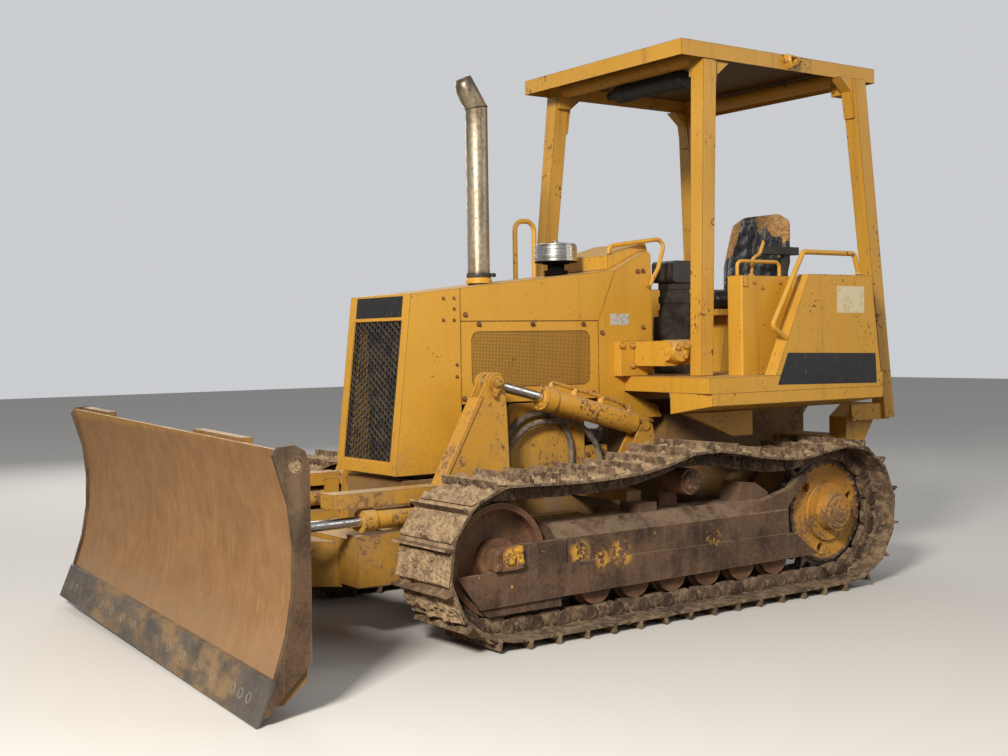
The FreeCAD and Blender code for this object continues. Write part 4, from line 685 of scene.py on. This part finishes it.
idler_ahead = 2.115
shoe = Look("caked_shoes", 0.85)
shoe_iron = iron_on(shoe, (0.045, 0.026, 0.016), (0.15, 0.095, 0.055), (0.24, 0.18, 0.12), 0.6, 0.1)
between = shoe.put("ShaderNodeClamp", {"Value": shoe.along("X"), "Min": axle, "Max": axle + idler_ahead})
beyond = shoe.maths("SUBTRACT", shoe.along("X"), between)
above = shoe.maths("SUBTRACT", shoe.along("Z"), 0.38)
outside = shoe.band(shoe.plus(0.0, (above, shoe.facing("Z")), (beyond, shoe.facing("X"))), 0.06, 0.16)
clods = shoe.noise(26.0, 7.0, 0.62)
crumbs = shoe.noise(130.0, 4.0, 0.6)
earth_tone = shoe.mixed(shoe.band(clods, 0.36, 0.64), (0.20, 0.13, 0.07), (0.40, 0.27, 0.15))
earth_tone = shoe.mixed(shoe.band(crumbs, 0.56, 0.7, 0.0, 0.5), earth_tone, (0.58, 0.47, 0.33))
caked = shoe.times(outside, shoe.band(shoe.plus(clods, (crumbs, 0.4)), 0.30, 0.62))
dusted = shoe.band(shoe.plus(clods, (crumbs, 0.5)), 0.66, 0.85, 0.0, 0.55)
track_look = shoe.finish(shoe.mixed(shoe.largest(caked, dusted), shoe_iron["Color"], earth_tone), None,
                         shoe.plus(crumbs, (clods, 2.0)), 0.004, 0.8)
coat(track_look, "track_left", "track_right")

link_count = 40
sprocket_z = 0.392
sprocket_centre = np.array((axle, sprocket_z))
idler_centre = np.array((axle + idler_ahead, 0.370))
run_points = np.array([(axle + x, z) for x, z in (
    (0.360, 0.657), (0.540, 0.672), (0.690, 0.694), (0.850, 0.728), (1.040, 0.738), (1.320, 0.668),
                                                  (1.620, 0.649),
    (1.900, 0.650))])


def arc_points(centre, radius, start, end):
    """Points on a circle between two angles in degrees."""
    angle = np.radians(np.linspace(start, end, 61))
    return centre + radius * np.stack((np.cos(angle), np.sin(angle)), axis=1)


def leaving(centre, radius, target, side):
    """The angle at which a straight run to a target leaves a circle."""
    way = target - centre
    return math.degrees(math.atan2(way[1], way[0]) + side * math.acos(radius / np.linalg.norm(way)))


def chain_pins():
    """The chain's pins: the closed line round both wheels is measured and cut into even steps."""
    rear = arc_points(sprocket_centre, 0.313, 270, leaving(sprocket_centre, 0.313, run_points[0], 1))
    front = arc_points(idler_centre, 0.291, leaving(idler_centre, 0.291, run_points[-1], -1), -90)
    line = np.concatenate((rear, run_points, front, rear[:1]))
    length = np.concatenate(([0], np.cumsum(np.linalg.norm(np.diff(line, axis=0), axis=1))))
    steps = (np.arange(link_count) + 0.5) * length[-1] / link_count
    return np.stack((np.interp(steps, length, line[:, 0]), np.interp(steps, length, line[:, 1])), axis=1)


def upright(flat, y=0.0):
    """Points (x, z) of the chain's plane as points in space."""
    return np.stack((flat[:, 0], np.full(len(flat), y), flat[:, 1]), axis=1)


pins = chain_pins()
next_pins = np.roll(pins, -1, axis=0)
pitch = np.linalg.norm(next_pins - pins, axis=1)[:, None]
along = (next_pins - pins) / pitch
outwards = np.stack((-along[:, 1], along[:, 0]), axis=1)
middles = (pins + next_pins) / 2


def on_links(along_share, out, y):
    """Places on every link: its middle, a share of the pitch along it and a distance out of the loop."""
    return upright(middles + along * pitch * along_share + outwards * out, y)


worn_chain = iron_look("worn_chain", (0.035, 0.02, 0.012), (0.13, 0.075, 0.04), (0.26, 0.19, 0.13), 0.8, 0.1)
boss = [(0.036, -0.002), (0.036, 0.007), (0.033, 0.010), (0.019, 0.010), (0.018, 0.006), (0.012, 0.008),
        (0, 0.008)]
chain_forms = []
for rail, side in ((0.675, -1), (0.825, 1)):
    chain_forms += sides(lambda places, way: turned(places, way * side, boss, 16), upright(pins, rail))
    for share in (-0.14, 0.14):
        chain_forms += sides(lambda places, way: screws(places, way * side, 0.0085),
                             on_links(share, 0.010, rail + 0.001 * side))
add_piece("chain_bosses", chain_forms, worn_chain)

shoe_top = 0.0405
bolt_profile = np.array([(1.3, -0.1), (1.3, 0.5), (1.0, 0.9), (0.0, 0.9)]) * 0.011
bolt_ring = (np.cos(six_angles)[None, :, None] * upright(along)[:, None]
             + np.sin(six_angles)[None, :, None] * np.array((0, 1, 0)))
bolt_form = (bolt_profile[None, :, 0, None, None] * bolt_ring[:, None]
             + bolt_profile[None, :, 1, None, None] * upright(outwards)[:, None, None])
shoe_screws = []
for y in (0.690, 0.810, -0.690, -0.810):
    for share in (0.02, 0.30):
        bolt_points = on_links(share, shoe_top, y)[:, None, None] + bolt_form
        shoe_screws.append(many(bolt_points.reshape(link_count, -1, 3), grid_faces(4, 6)))
add_piece("shoe_screws", shoe_screws, track_look)


def rolling(points, size, seed):
    """Soft random relief: the sum of sixteen sine waves in random directions, about as long as the size."""
    random = np.random.default_rng(seed)
    ways = random.normal(size=(16, 3))
    ways *= (2 * np.pi / size * random.uniform(0.6, 1.7, 16) / np.linalg.norm(ways, axis=1))[:, None]
    return np.sin(points @ ways.T + random.uniform(0, 2 * np.pi, 16)).sum(axis=-1) / 4


def earth_on_shoes(hand, seed):
    """Caked earth: a sheet over each shoe whose height is random relief less a threshold, so it is lumpy."""
    inner, outer, start, end = 0.549, 0.951, -0.20, 0.70
    sheet_along, sheet_across = np.meshgrid(np.linspace(start, end, 20), np.linspace(inner, outer, 44),
                                            indexing="ij")
    flat = middles[:, None, None] + (along * pitch)[:, None, None] * sheet_along[None, ..., None]
    spots = np.stack((flat[..., 0], np.broadcast_to(hand * sheet_across, flat.shape[:3]), flat[..., 1]),
                     axis=-1)
    relief = (0.012 * rolling(spots, 0.11, seed) + 0.006 * rolling(spots, 0.035, seed + 1)
              + 0.003 * rolling(spots, 0.014, seed + 2))
    rim = np.minimum(1, np.minimum((sheet_across - inner) / 0.012, (outer - sheet_across) / 0.012))
    ramp = np.minimum(1, np.minimum((sheet_along - start) / 0.05, (end - sheet_along) / 0.05))
    low_run = np.clip((0.20 - middles[:, 1]) / 0.05, 0, 1)[:, None, None]
    height = np.clip(relief + 0.006, -0.006, 0.034) * np.minimum(rim, ramp)[None]
    height = np.where(height > 0, height * (1 - 0.55 * low_run), height)
    lift = (shoe_top + height)[..., None] * outwards[:, None, None]
    spots[..., 0] += lift[..., 0]
    spots[..., 2] += lift[..., 1]
    rows, columns = sheet_along.shape
    row = np.arange(rows - 1)[:, None]
    column = np.arange(columns - 1)[None, :]
    corners = (row * columns + column, row * columns + column + 1, (row + 1) * columns + column + 1,
               (row + 1) * columns + column)
    quads = np.stack(corners if hand > 0 else corners[::-1], axis=-1).reshape(-1, 4)
    return many(spots.reshape(link_count, -1, 3), quads)


earth = Look("dry_earth", 0.95)
lumps = earth.noise(22.0, 8.0, 0.65)
grit = earth.noise(160.0, 5.0, 0.6)
stones = earth.put("ShaderNodeTexVoronoi", {"Vector": earth.place, "Scale": 75.0}, "Distance")
tone = earth.mixed(earth.band(lumps, 0.35, 0.62), (0.20, 0.13, 0.07), (0.41, 0.28, 0.155))
tone = earth.mixed(earth.band(grit, 0.55, 0.72, 0.0, 0.6), tone, (0.60, 0.50, 0.36))
tone = earth.mixed(earth.band(stones, 0.30, 0.12, 0.0, 0.35), tone, (0.62, 0.55, 0.44))
dry_earth = earth.finish(tone, None, earth.plus(grit, (lumps, 2.5)), 0.006, 0.9)
add_piece("earth_left", [earth_on_shoes(1, 11)], dry_earth, closed=False)
add_piece("earth_right", [earth_on_shoes(-1, 31)], dry_earth, closed=False)

# The running gear inside the tracks. The roller frames are welded boxes with a few remnants of
# paint on dark, polished rust, the idlers and rollers are cast, and the sprocket is bolted on.


def remnants(look, grain, low, high, spots):
    """Shares of old paint left about some spots (x, y, z, reach, core), broken up by a grain."""
    return [look.times(look.band(look.distance(at(x, y, z)), reach, core), look.band(grain, low, high))
            for x, y, z, reach, core in spots]


gear = Look("roller_frame_rust", 0.6, 0.15)
gear_iron = iron_on(gear, (0.05, 0.027, 0.017), (0.155, 0.085, 0.046), (0.24, 0.17, 0.115), 0.75, 0.25, 0.9)
gear_cloud = gear.noise(14.0, 7.0, 0.7)
gear_paint = gear.largest(gear.band(gear_cloud, 0.66, 0.70), *remnants(gear, gear_cloud, 0.47, 0.53, (
    (1.691, 0.85, 0.359, 0.075, 0.02625), (1.455, 0.85, 0.335, 0.08, 0.028), (1.571, 0.85, 0.318, 0.06,
                                                                              0.021),
    (0.874, 0.85, 0.352, 0.06, 0.021))))
gear_dust = gear.times(gear.band(gear.facing("Z"), 0.3, 0.95, 0.0, 0.8), gear.band(gear_cloud, 0.38, 0.56))
gear_tone = gear.mixed(gear_dust, gear.mixed(gear_paint, gear_iron["Color"], (0.62, 0.32, 0.04)),
                       (0.27, 0.19, 0.12))
coat(gear.finish(gear_tone, gear_iron["Roughness"], gear_iron["Height"], 0.0018), "track_frames")
idler = Look("idler_rust", 0.7, 0.1)
idler_iron = iron_on(idler, (0.085, 0.038, 0.018), (0.225, 0.105, 0.048), (0.30, 0.24, 0.18), 0.7, 0.1)
idler_paint = idler.largest(*remnants(idler, idler.noise(55.0, 6.0, 0.7), 0.42, 0.50, (
    (2.092, 0.890, 0.386, 0.050, 0.030), (2.040, 0.890, 0.400, 0.050, 0.030))))
idler_rust = idler.finish(idler.mixed(idler_paint, idler_iron["Color"], (0.62, 0.33, 0.03)),
                          idler_iron["Roughness"],
                          idler_iron["Height"], 0.0015)
coat(idler_rust, "idlers", "track_rollers")
wheel = Look("sprocket_paint", 0.6)
wheel_paint = paint_on(wheel, (0.46, 0.205, 0.026), rust=(0.13, 0.057, 0.022), chips=0.82, runs=0.6, mud=0.6,
                       grain=1.2)
wheel_iron = iron_on(wheel, (0.06, 0.035, 0.024), (0.18, 0.115, 0.075), (0.34, 0.28, 0.22), 0.8)
wheel_plane = wheel.put("ShaderNodeVectorMath", {0: wheel.place, 1: (1, 0, 1)}, operation="MULTIPLY")
toothed = wheel.band(wheel.distance((axle, 0, sprocket_z), wheel_plane), 0.236, 0.250)
sprocket_paint = wheel.finish(wheel.mixed(toothed, wheel_paint["Color"], wheel_iron["Color"]),
                              wheel_paint["Roughness"],
                              wheel_paint["Height"], 0.0015)
coat(sprocket_paint, "sprockets")
hub_screws = bolt_circle(0, 0.872, sprocket_z, 0.066, np.radians(np.arange(8) * 45 + 12))
ring_screws = bolt_circle(0, 0.784, sprocket_z, 0.247, np.radians(np.arange(25) * 14.4 + 5))
hole_lips = bolt_circle(0, 0.783, sprocket_z, 0.192, np.radians((42, 162, 282)))
lip = [(0.024, 0.002), (0.034, 0.006), (0.036, 0.0), (0.034, -0.002), (0.024, -0.001)]
hub_cap = [(0.082, -0.006), (0.082, 0.006), (0.076, 0.010), (0.048, 0.011), (0.045, 0.018), (0.014, 0.019),
           (0.012, 0.024), (0, 0.024)]
add_piece("sprocket_fastenings", sides(screws, hub_screws, 0.0105) + sides(screws, ring_screws, 0.009)
          + sides(turned, hole_lips, lip, 28) + sides(turned, at(0, 0.871, sprocket_z), hub_cap, 36),
          sprocket_paint)
block_side = 0.888
block_screws = on_wall(block_side, (2.161, 0.405), (2.161, 0.352), (2.052, 0.412), (2.040, 0.362))
carrier_screws = bolt_circle(1.0, 0.850, 0.622, 0.034, np.radians(np.arange(6) * 60 + 10))
gear_forms = (sides(screws, block_screws, 0.011) + sides(screws, carrier_screws, 0.008)
              + sides(turned, at(2.130, 0.7785, 0.556), [(0, 0.0005), (0.013, 0.001), (0.014, 0.006),
                                                         (0.024, 0.005),
                                                         (0.026, 0)], 24)
              + sides(turned, at(2.103, block_side, 0.386), [(0.03, -0.01), (0.03, 0.010), (0.026, 0.014),
                                                             (0, 0.014)], 24))
for x in (2.161, 2.048):
    clamp_plate = on_wall(block_side, (x - 0.016, 0.340), (x + 0.016, 0.336), (x + 0.016, 0.418),
                          (x - 0.016, 0.422))
    gear_forms += sides(plaque, clamp_plate, 0.007)
add_piece("running_gear_screws", gear_forms, idler_rust)

# The hydraulic cylinders. The barrels are drawn tube with welded eyes and yellow paint, the rods are
# ground and chromed steel, and steel pipes clipped to the lift barrels feed their front ends.
barrel_paint = painted("barrel_paint", (0.55, 0.275, 0.028), chips=0.76, dust=0.6, mud=0.5)
coat(barrel_paint, "lift_barrel_left", "lift_barrel_right", "angle_barrel_left", "angle_barrel_right",
     "tilt_barrel")
chrome = Look("chromed_rod", 0.16, 1.0)
oil_film = chrome.noise(24.0, 6.0, 0.65)
chromed_rod = chrome.finish(chrome.mixed(chrome.band(oil_film, 0.54, 0.70, 0.0, 0.75), (0.60, 0.60, 0.61),
                                         (0.20, 0.15, 0.10)), chrome.band(oil_film, 0.42, 0.66, 0.12, 0.5))
coat(chromed_rod, "lift_rod_left", "lift_rod_right", "angle_rod_left", "angle_rod_right", "tilt_rod")
lift_start = at(0.968, 0.44, 0.870)
lift_end = at(lift_pin[0], 0.44, lift_pin[1])
lift_way = (lift_end - lift_start) / np.linalg.norm(lift_end - lift_start)
lift_up = np.array((-lift_way[2], 0, lift_way[0]))


def on_lift(distance, out):
    """A place by the left lift cylinder: along it from its rear pin and out above it."""
    return lift_start + lift_way * distance + lift_up * out


def pipe(points, radius, columns=10):
    """A round pipe along points: at each, a circle square to the way between its neighbours."""
    points = np.array(points, float)
    way = np.gradient(points, axis=0)
    way /= np.linalg.norm(way, axis=1)[:, None]
    first = np.cross(way, (0.0, 1.0, 0.0))
    first /= np.linalg.norm(first, axis=1)[:, None]
    second = np.cross(way, first)
    angle = np.arange(columns) * 2 * np.pi / columns
    rings = points[:, None] + radius * (np.cos(angle)[None, :, None] * first[:, None]
                                        + np.sin(angle)[None, :, None] * second[:, None])
    rings = np.concatenate((np.repeat(points[:1, None], columns, axis=1), rings,
                            np.repeat(points[-1:, None], columns, axis=1)))
    return many(rings.reshape(1, -1, 3), grid_faces(len(rings), columns))


def rounded_line(corners, bend):
    """A line through corners whose bends are parabolas that start a set distance before each corner."""
    corners = np.array(corners, float)
    share = np.linspace(0, 1, 7)[:, None]
    pieces = [corners[:1]]
    for before, corner, after in zip(corners, corners[1:], corners[2:]):
        start = corner + (before - corner) / np.linalg.norm(before - corner) * bend
        end = corner + (after - corner) / np.linalg.norm(after - corner) * bend
        pieces.append((1 - share) ** 2 * start + 2 * share * (1 - share) * corner + share ** 2 * end)
    return np.concatenate(pieces + [corners[-1:]])


fitting = [(0, 0), (0.017, 0), (0.017, 0.0175), (0.013, 0.0215), (0.013, 0.0315), (0, 0.0315)]
pipe_clip = [(0.018, 0), (0.018, 0.026), (0.012, 0.040), (0, 0.042)]
gland = [(0.0262, 0.006), (0.040, 0.006), (0.048, 0.003), (0.048, -0.004), (0.052, -0.006)]
front_port, rear_port = 0.585, 0.085
feed_line = rounded_line([on_lift(front_port, 0.05), on_lift(front_port, 0.083), on_lift(0.17, 0.083),
                          on_lift(0.10, 0.066), on_lift(rear_port, 0.056)], 0.012)
for name, hand in (("left", 1), ("right", -1)):
    mirror = np.array((1, hand, 1))
    ports = np.array([on_lift(front_port, 0.0475), on_lift(rear_port, 0.0475)]) * mirror
    clips = np.array([on_lift(0.27, 0.048), on_lift(0.44, 0.048)]) * mirror
    add_piece("lift_pipe_" + name, [
        pipe(feed_line * mirror, 0.0095), turned(ports, lift_up, fitting, 12),
                                    turned(clips, lift_up, pipe_clip, 16),
        screws(clips + lift_up * 0.040, lift_up, 0.006), turned(on_lift(0.6285, 0) * mirror, lift_way, gland,
                                                                32)],
              barrel_paint, "lift_barrel_" + name)

# The angle cylinders' hoses. They are black wire-braided rubber gone grey, with crimped steel ends,
# held at the frame's side and arched over the cover.
rubber = Look("grey_rubber", 0.7)
scuffing = rubber.noise(30.0, 6.0, 0.6)
coat(rubber.finish(rubber.mixed(rubber.band(scuffing, 0.38, 0.66), (0.075, 0.066, 0.056),
                                (0.23, 0.185, 0.135)),
                   rubber.band(scuffing, 0.4, 0.6, 0.55, 0.85), scuffing, 0.0008), "angle_hoses")

# The blade. Its curved plate is polished by the earth it pushes and has rusted since, in fine runs
# down the curve. The cutting edge is hard dark steel, cleaner at its ends, with earth dried on it.
# Its plow bolts are flush, in one row, and the ground has rubbed their rims bright.
board = Look("blade_rust", 0.6, 0.2)
board_clouds = board.noise(2.2, 6.0, 0.6)
board_runs = board.noise(1.0, 8.0, 0.78, (1.0, 30, 3.6))
board_fine = board.noise(60.0, 6.0, 0.7, (1.0, 1.0, 0.35))
board_mix = board.plus(0.0, (board_clouds, 0.2), (board_runs, 0.3), (board_fine, 0.2),
                       (board.noise(9.0, 7.0, 0.7), 0.3))
low_part = board.band(board.plus(board.along("Z"), (board_clouds, 0.5)), 0.62, 0.40, 0.0, 0.55)
top_part = board.band(board.plus(board.along("Z"), (board_runs, 0.10)), 0.985, 1.01, 0.0, 0.6)
tone = board.mixed(board.band(board_mix, 0.34, 0.68), (0.265, 0.135, 0.050), (0.395, 0.212, 0.092))
tone = board.mixed(board.band(board_fine, 0.58, 0.78, 0.0, 0.4), tone, (0.50, 0.33, 0.175))
tone = board.mixed(top_part, board.mixed(low_part, tone, (0.36, 0.225, 0.12)), (0.50, 0.27, 0.06))
coat(board.finish(tone, board.band(board_mix, 0.38, 0.62, 0.42, 0.72),
                  board.plus(board_runs, (board_fine, 0.5)),
                  0.0012), "moldboard")
# The end plates' rust is darker than the other bare iron: partly rust, partly painted shade of their side
# faces.
coat(iron_look("end_plate_rust_and_painted_shade", (0.045, 0.025, 0.014), (0.125, 0.07, 0.036), (0.26, 0.18, 0.11)),
     "end_plates")
edge = Look("edge_steel", 0.5, 0.35)
bare_edge = iron_on(edge, (0.070, 0.068, 0.068), (0.125, 0.119, 0.113), (0.27, 0.215, 0.15), 0.8, 0.1)
edge_ends = edge.band(edge.maths("ABSOLUTE", edge.along("Y")), 0.85, 1.2)
edge_patches = edge.plus(edge.noise(1.0, 8.0, 0.68, (4.0, 4.5, 9.0)), (edge_ends, -0.17))
edge_steel = edge.finish(edge.mixed(edge.band(edge_patches, 0.34, 0.64, 0.1, 0.85), bare_edge["Color"],
                                    (0.34, 0.215, 0.105)), edge.band(edge_patches, 0.45, 0.6, 0.42, 0.85),
                         edge.maths("ADD", edge_patches, bare_edge["Height"]), 0.0025)
coat(edge_steel, "cutting_edge")
king_pin = at(2.860, 0, 0)
tilt_pin = np.array((0, 0, 0.350))
blade_turn = np.array(Matrix.Rotation(math.radians(-3.8), 3, "Z"))
blade_lean = np.array(Matrix.Rotation(math.radians(-1.0), 3, "X"))


def on_blade(points):
    """Blade points, drawn square on the ground, as parked: raised, tilted about the tilt pin, then turned."""
    raised = np.array(points, float) + (0, 0, 0.024)
    tilted = (raised - tilt_pin) @ blade_lean.T + tilt_pin
    return (tilted - king_pin) @ blade_turn.T + king_pin


edge_lean = 0.3991
plow_height = 0.070
plow_ahead = 3.368 - edge_lean * plow_height
plow_places = on_blade([at(plow_ahead, side * y, plow_height) for side in (-1, 1)
                        for y in (0.15, 0.32, 0.49, 0.66, 0.83, 1.04, 1.115, 1.19)])
plow_axis = blade_turn @ blade_lean @ np.array((0.9288, 0, 0.3707))
plow_head = [(0.016, -0.008), (0.016, 0.0006), (0.009, 0.0006), (0.008, 0.0002), (0, 0.0002)]
plow_rim = [(0.0195, -0.008), (0.0195, 0.0008), (0.0185, 0.0014), (0.0172, 0.0014), (0.0163, 0.0008),
            (0.0163, -0.008), (0.0195, -0.008)]
rubbed_rims = iron_look("rubbed_rims", (0.16, 0.145, 0.125), (0.33, 0.295, 0.245), (0.40, 0.31, 0.20))
add_piece("plow_bolts", [turned(plow_places, plow_axis, plow_head, 20)], edge_steel, "blade")
add_piece("plow_rims", [turned(plow_places, plow_axis, plow_rim, 20)], rubbed_rims, "blade")

# The operator's place. Foam cushions under sewn black vinyl, split by the sun so that the tan foam
# and backing show, stand on a steel pan. The arm pad is moulded foam. A bent steel lever stands on
# the left fender's box, and the main lever has a moulded grip.


def pillow(centre, first, second, normal, outline, half, seed, wrinkle):
    """A crowned cushion. Its plan is the outline shrunk by s, and its half thickness is half * (1 - s^6)^0.5.

    A sewn channel runs at s = 0.8, and soft wrinkles move the surface along the normal.
    """
    outline = np.array(outline, float)
    turns = np.linspace(0, len(outline), 24 * len(outline), endpoint=False)
    closed = np.concatenate((outline, outline[:1]))
    ring = np.stack([np.interp(turns, np.arange(len(closed)), closed[:, k]) for k in (0, 1)], axis=1)
    for step in range(10):
        ring = 0.5 * ring + 0.25 * (np.roll(ring, 1, axis=0) + np.roll(ring, -1, axis=0))
    shrink = 1 - (1 - np.linspace(0, 1, 26)) ** 1.7
    bulge = half * np.sqrt(np.clip(1 - shrink ** 6, 0, 1)) - 0.006 * np.exp(-((shrink - 0.8) / 0.02) ** 2)
    shares = np.concatenate((shrink, shrink[-2::-1]))
    rise = np.concatenate((bulge, -bulge[-2::-1]))
    points = (np.array(centre) + shares[:, None, None] * (ring[:, :1] * first + ring[:, 1:] * second)[None]
              + rise[:, None, None] * normal)
    soft = rolling(points, 0.09, seed) + 0.5 * rolling(points, 0.03, seed + 1)
    points = points + (wrinkle * soft * np.abs(rise[:, None]) / half)[..., None] * normal
    points[0] = points[0].mean(axis=0)
    points[-1] = points[-1].mean(axis=0)
    return many(points.reshape(1, -1, 3), grid_faces(len(points), len(ring)))


vinyl = Look("split_vinyl", 0.5)
leather_grain = vinyl.put("ShaderNodeTexVoronoi", {"Vector": vinyl.place, "Scale": 420.0}, "Distance")
foam = vinyl.noise(45.0, 6.0, 0.7)
top_corner = vinyl.times(vinyl.band(vinyl.along("Y"), -0.075, 0.035),
                         vinyl.band(vinyl.along("Z"), 1.82, 1.95))
far_edge = vinyl.times(vinyl.band(vinyl.along("Y"), -0.100, -0.175), vinyl.band(vinyl.along("Z"), 1.74, 1.79))
tears = vinyl.plus(vinyl.noise(9.0, 5.0, 0.55), (vinyl.largest(top_corner, far_edge), 0.30))
torn = vinyl.band(tears, 0.635, 0.65)
cover_tone = vinyl.mixed(vinyl.band(foam, 0.45, 0.7, 0.0, 0.5), (0.011, 0.011, 0.012), (0.045, 0.038, 0.032))
foam_tone = vinyl.mixed(vinyl.band(foam, 0.35, 0.65), (0.23, 0.115, 0.04), (0.47, 0.27, 0.105))
split_vinyl = vinyl.finish(vinyl.mixed(torn, cover_tone, foam_tone), vinyl.band(torn, 0.2, 0.8, 0.42, 0.95),
                           vinyl.plus(0.0, (leather_grain, 0.3), (foam, 0.8), (torn, -4.0)), 0.0012, 0.8)
recline = math.radians(10)
back_up = np.array((-math.sin(recline), 0, math.cos(recline)))
back_ahead = np.array((math.cos(recline), 0, math.sin(recline)))
back_middle = at(-0.250, 0, 1.475) + back_up * 0.270 - back_ahead * 0.043
back_outline = [(-0.215, -0.265), (0.215, -0.265), (0.252, -0.02), (0.215, 0.225), (0.13, 0.268),
                (-0.13, 0.268),
                (-0.215, 0.225), (-0.252, -0.02)]
cushion_outline = [(-0.215, -0.228), (0.205, -0.228), (0.222, 0), (0.205, 0.228), (-0.215, 0.228),
                   (-0.222, 0)]
ahead, leftwards, upwards = np.eye(3)
seat_back = add_piece("seat_back_pad", [pillow(back_middle, leftwards, back_up, back_ahead, back_outline,
                                               0.040, 5,
                                               0.0035)], split_vinyl, smooth=True)
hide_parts("seat_back")
seat_cushion = add_piece("seat_cushion_pad", [pillow(at(-0.012, 0, 1.5065), ahead, leftwards, upwards,
                                                     cushion_outline,
                                                     0.050, 9, 0.003)], split_vinyl, smooth=True)
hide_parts("seat_cushion")
lever_line = rounded_line([at(0.455, 0.715, 1.596), at(0.443, 0.715, 1.690), at(0.388, 0.712, 1.716),
                           at(0.353, 0.710, 1.790)], 0.014)
lever_foot = [(0, 0), (0.019, 0), (0.019, 0.006), (0.012, 0.012), (0.0, 0.012)]
add_piece("bent_lever", [pipe(lever_line, 0.008), turned(at(0.455, 0.715, 1.598), (0, 0, 1), lever_foot, 20)],
          deck_paint)
console = Look("black_console", 0.5)
console_dust = console.noise(12.0, 7.0, 0.65)
dusty_top = console.times(console.band(console.facing("Z"), 0.2, 0.9, 0.12, 0.6),
                          console.band(console_dust, 0.38, 0.62))
black_console = console.finish(console.mixed(dusty_top, (0.018, 0.017, 0.017), (0.27, 0.20, 0.13)),
                               console.band(console_dust, 0.4, 0.6, 0.36, 0.66), console.noise(220.0),
                               0.0004, 0.5)
coat(black_console, "controls", "levers", "armrests")
grip = [(0, 0), (0.011, 0.001), (0.0135, 0.012), (0.0145, 0.045), (0.013, 0.068), (0.007, 0.077), (0, 0.078)]
add_piece("lever_grip", [turned(at(0.3535, 0.71, 1.772), (-0.10, 0, 1), grip, 20)], black_console,
          smooth=True)
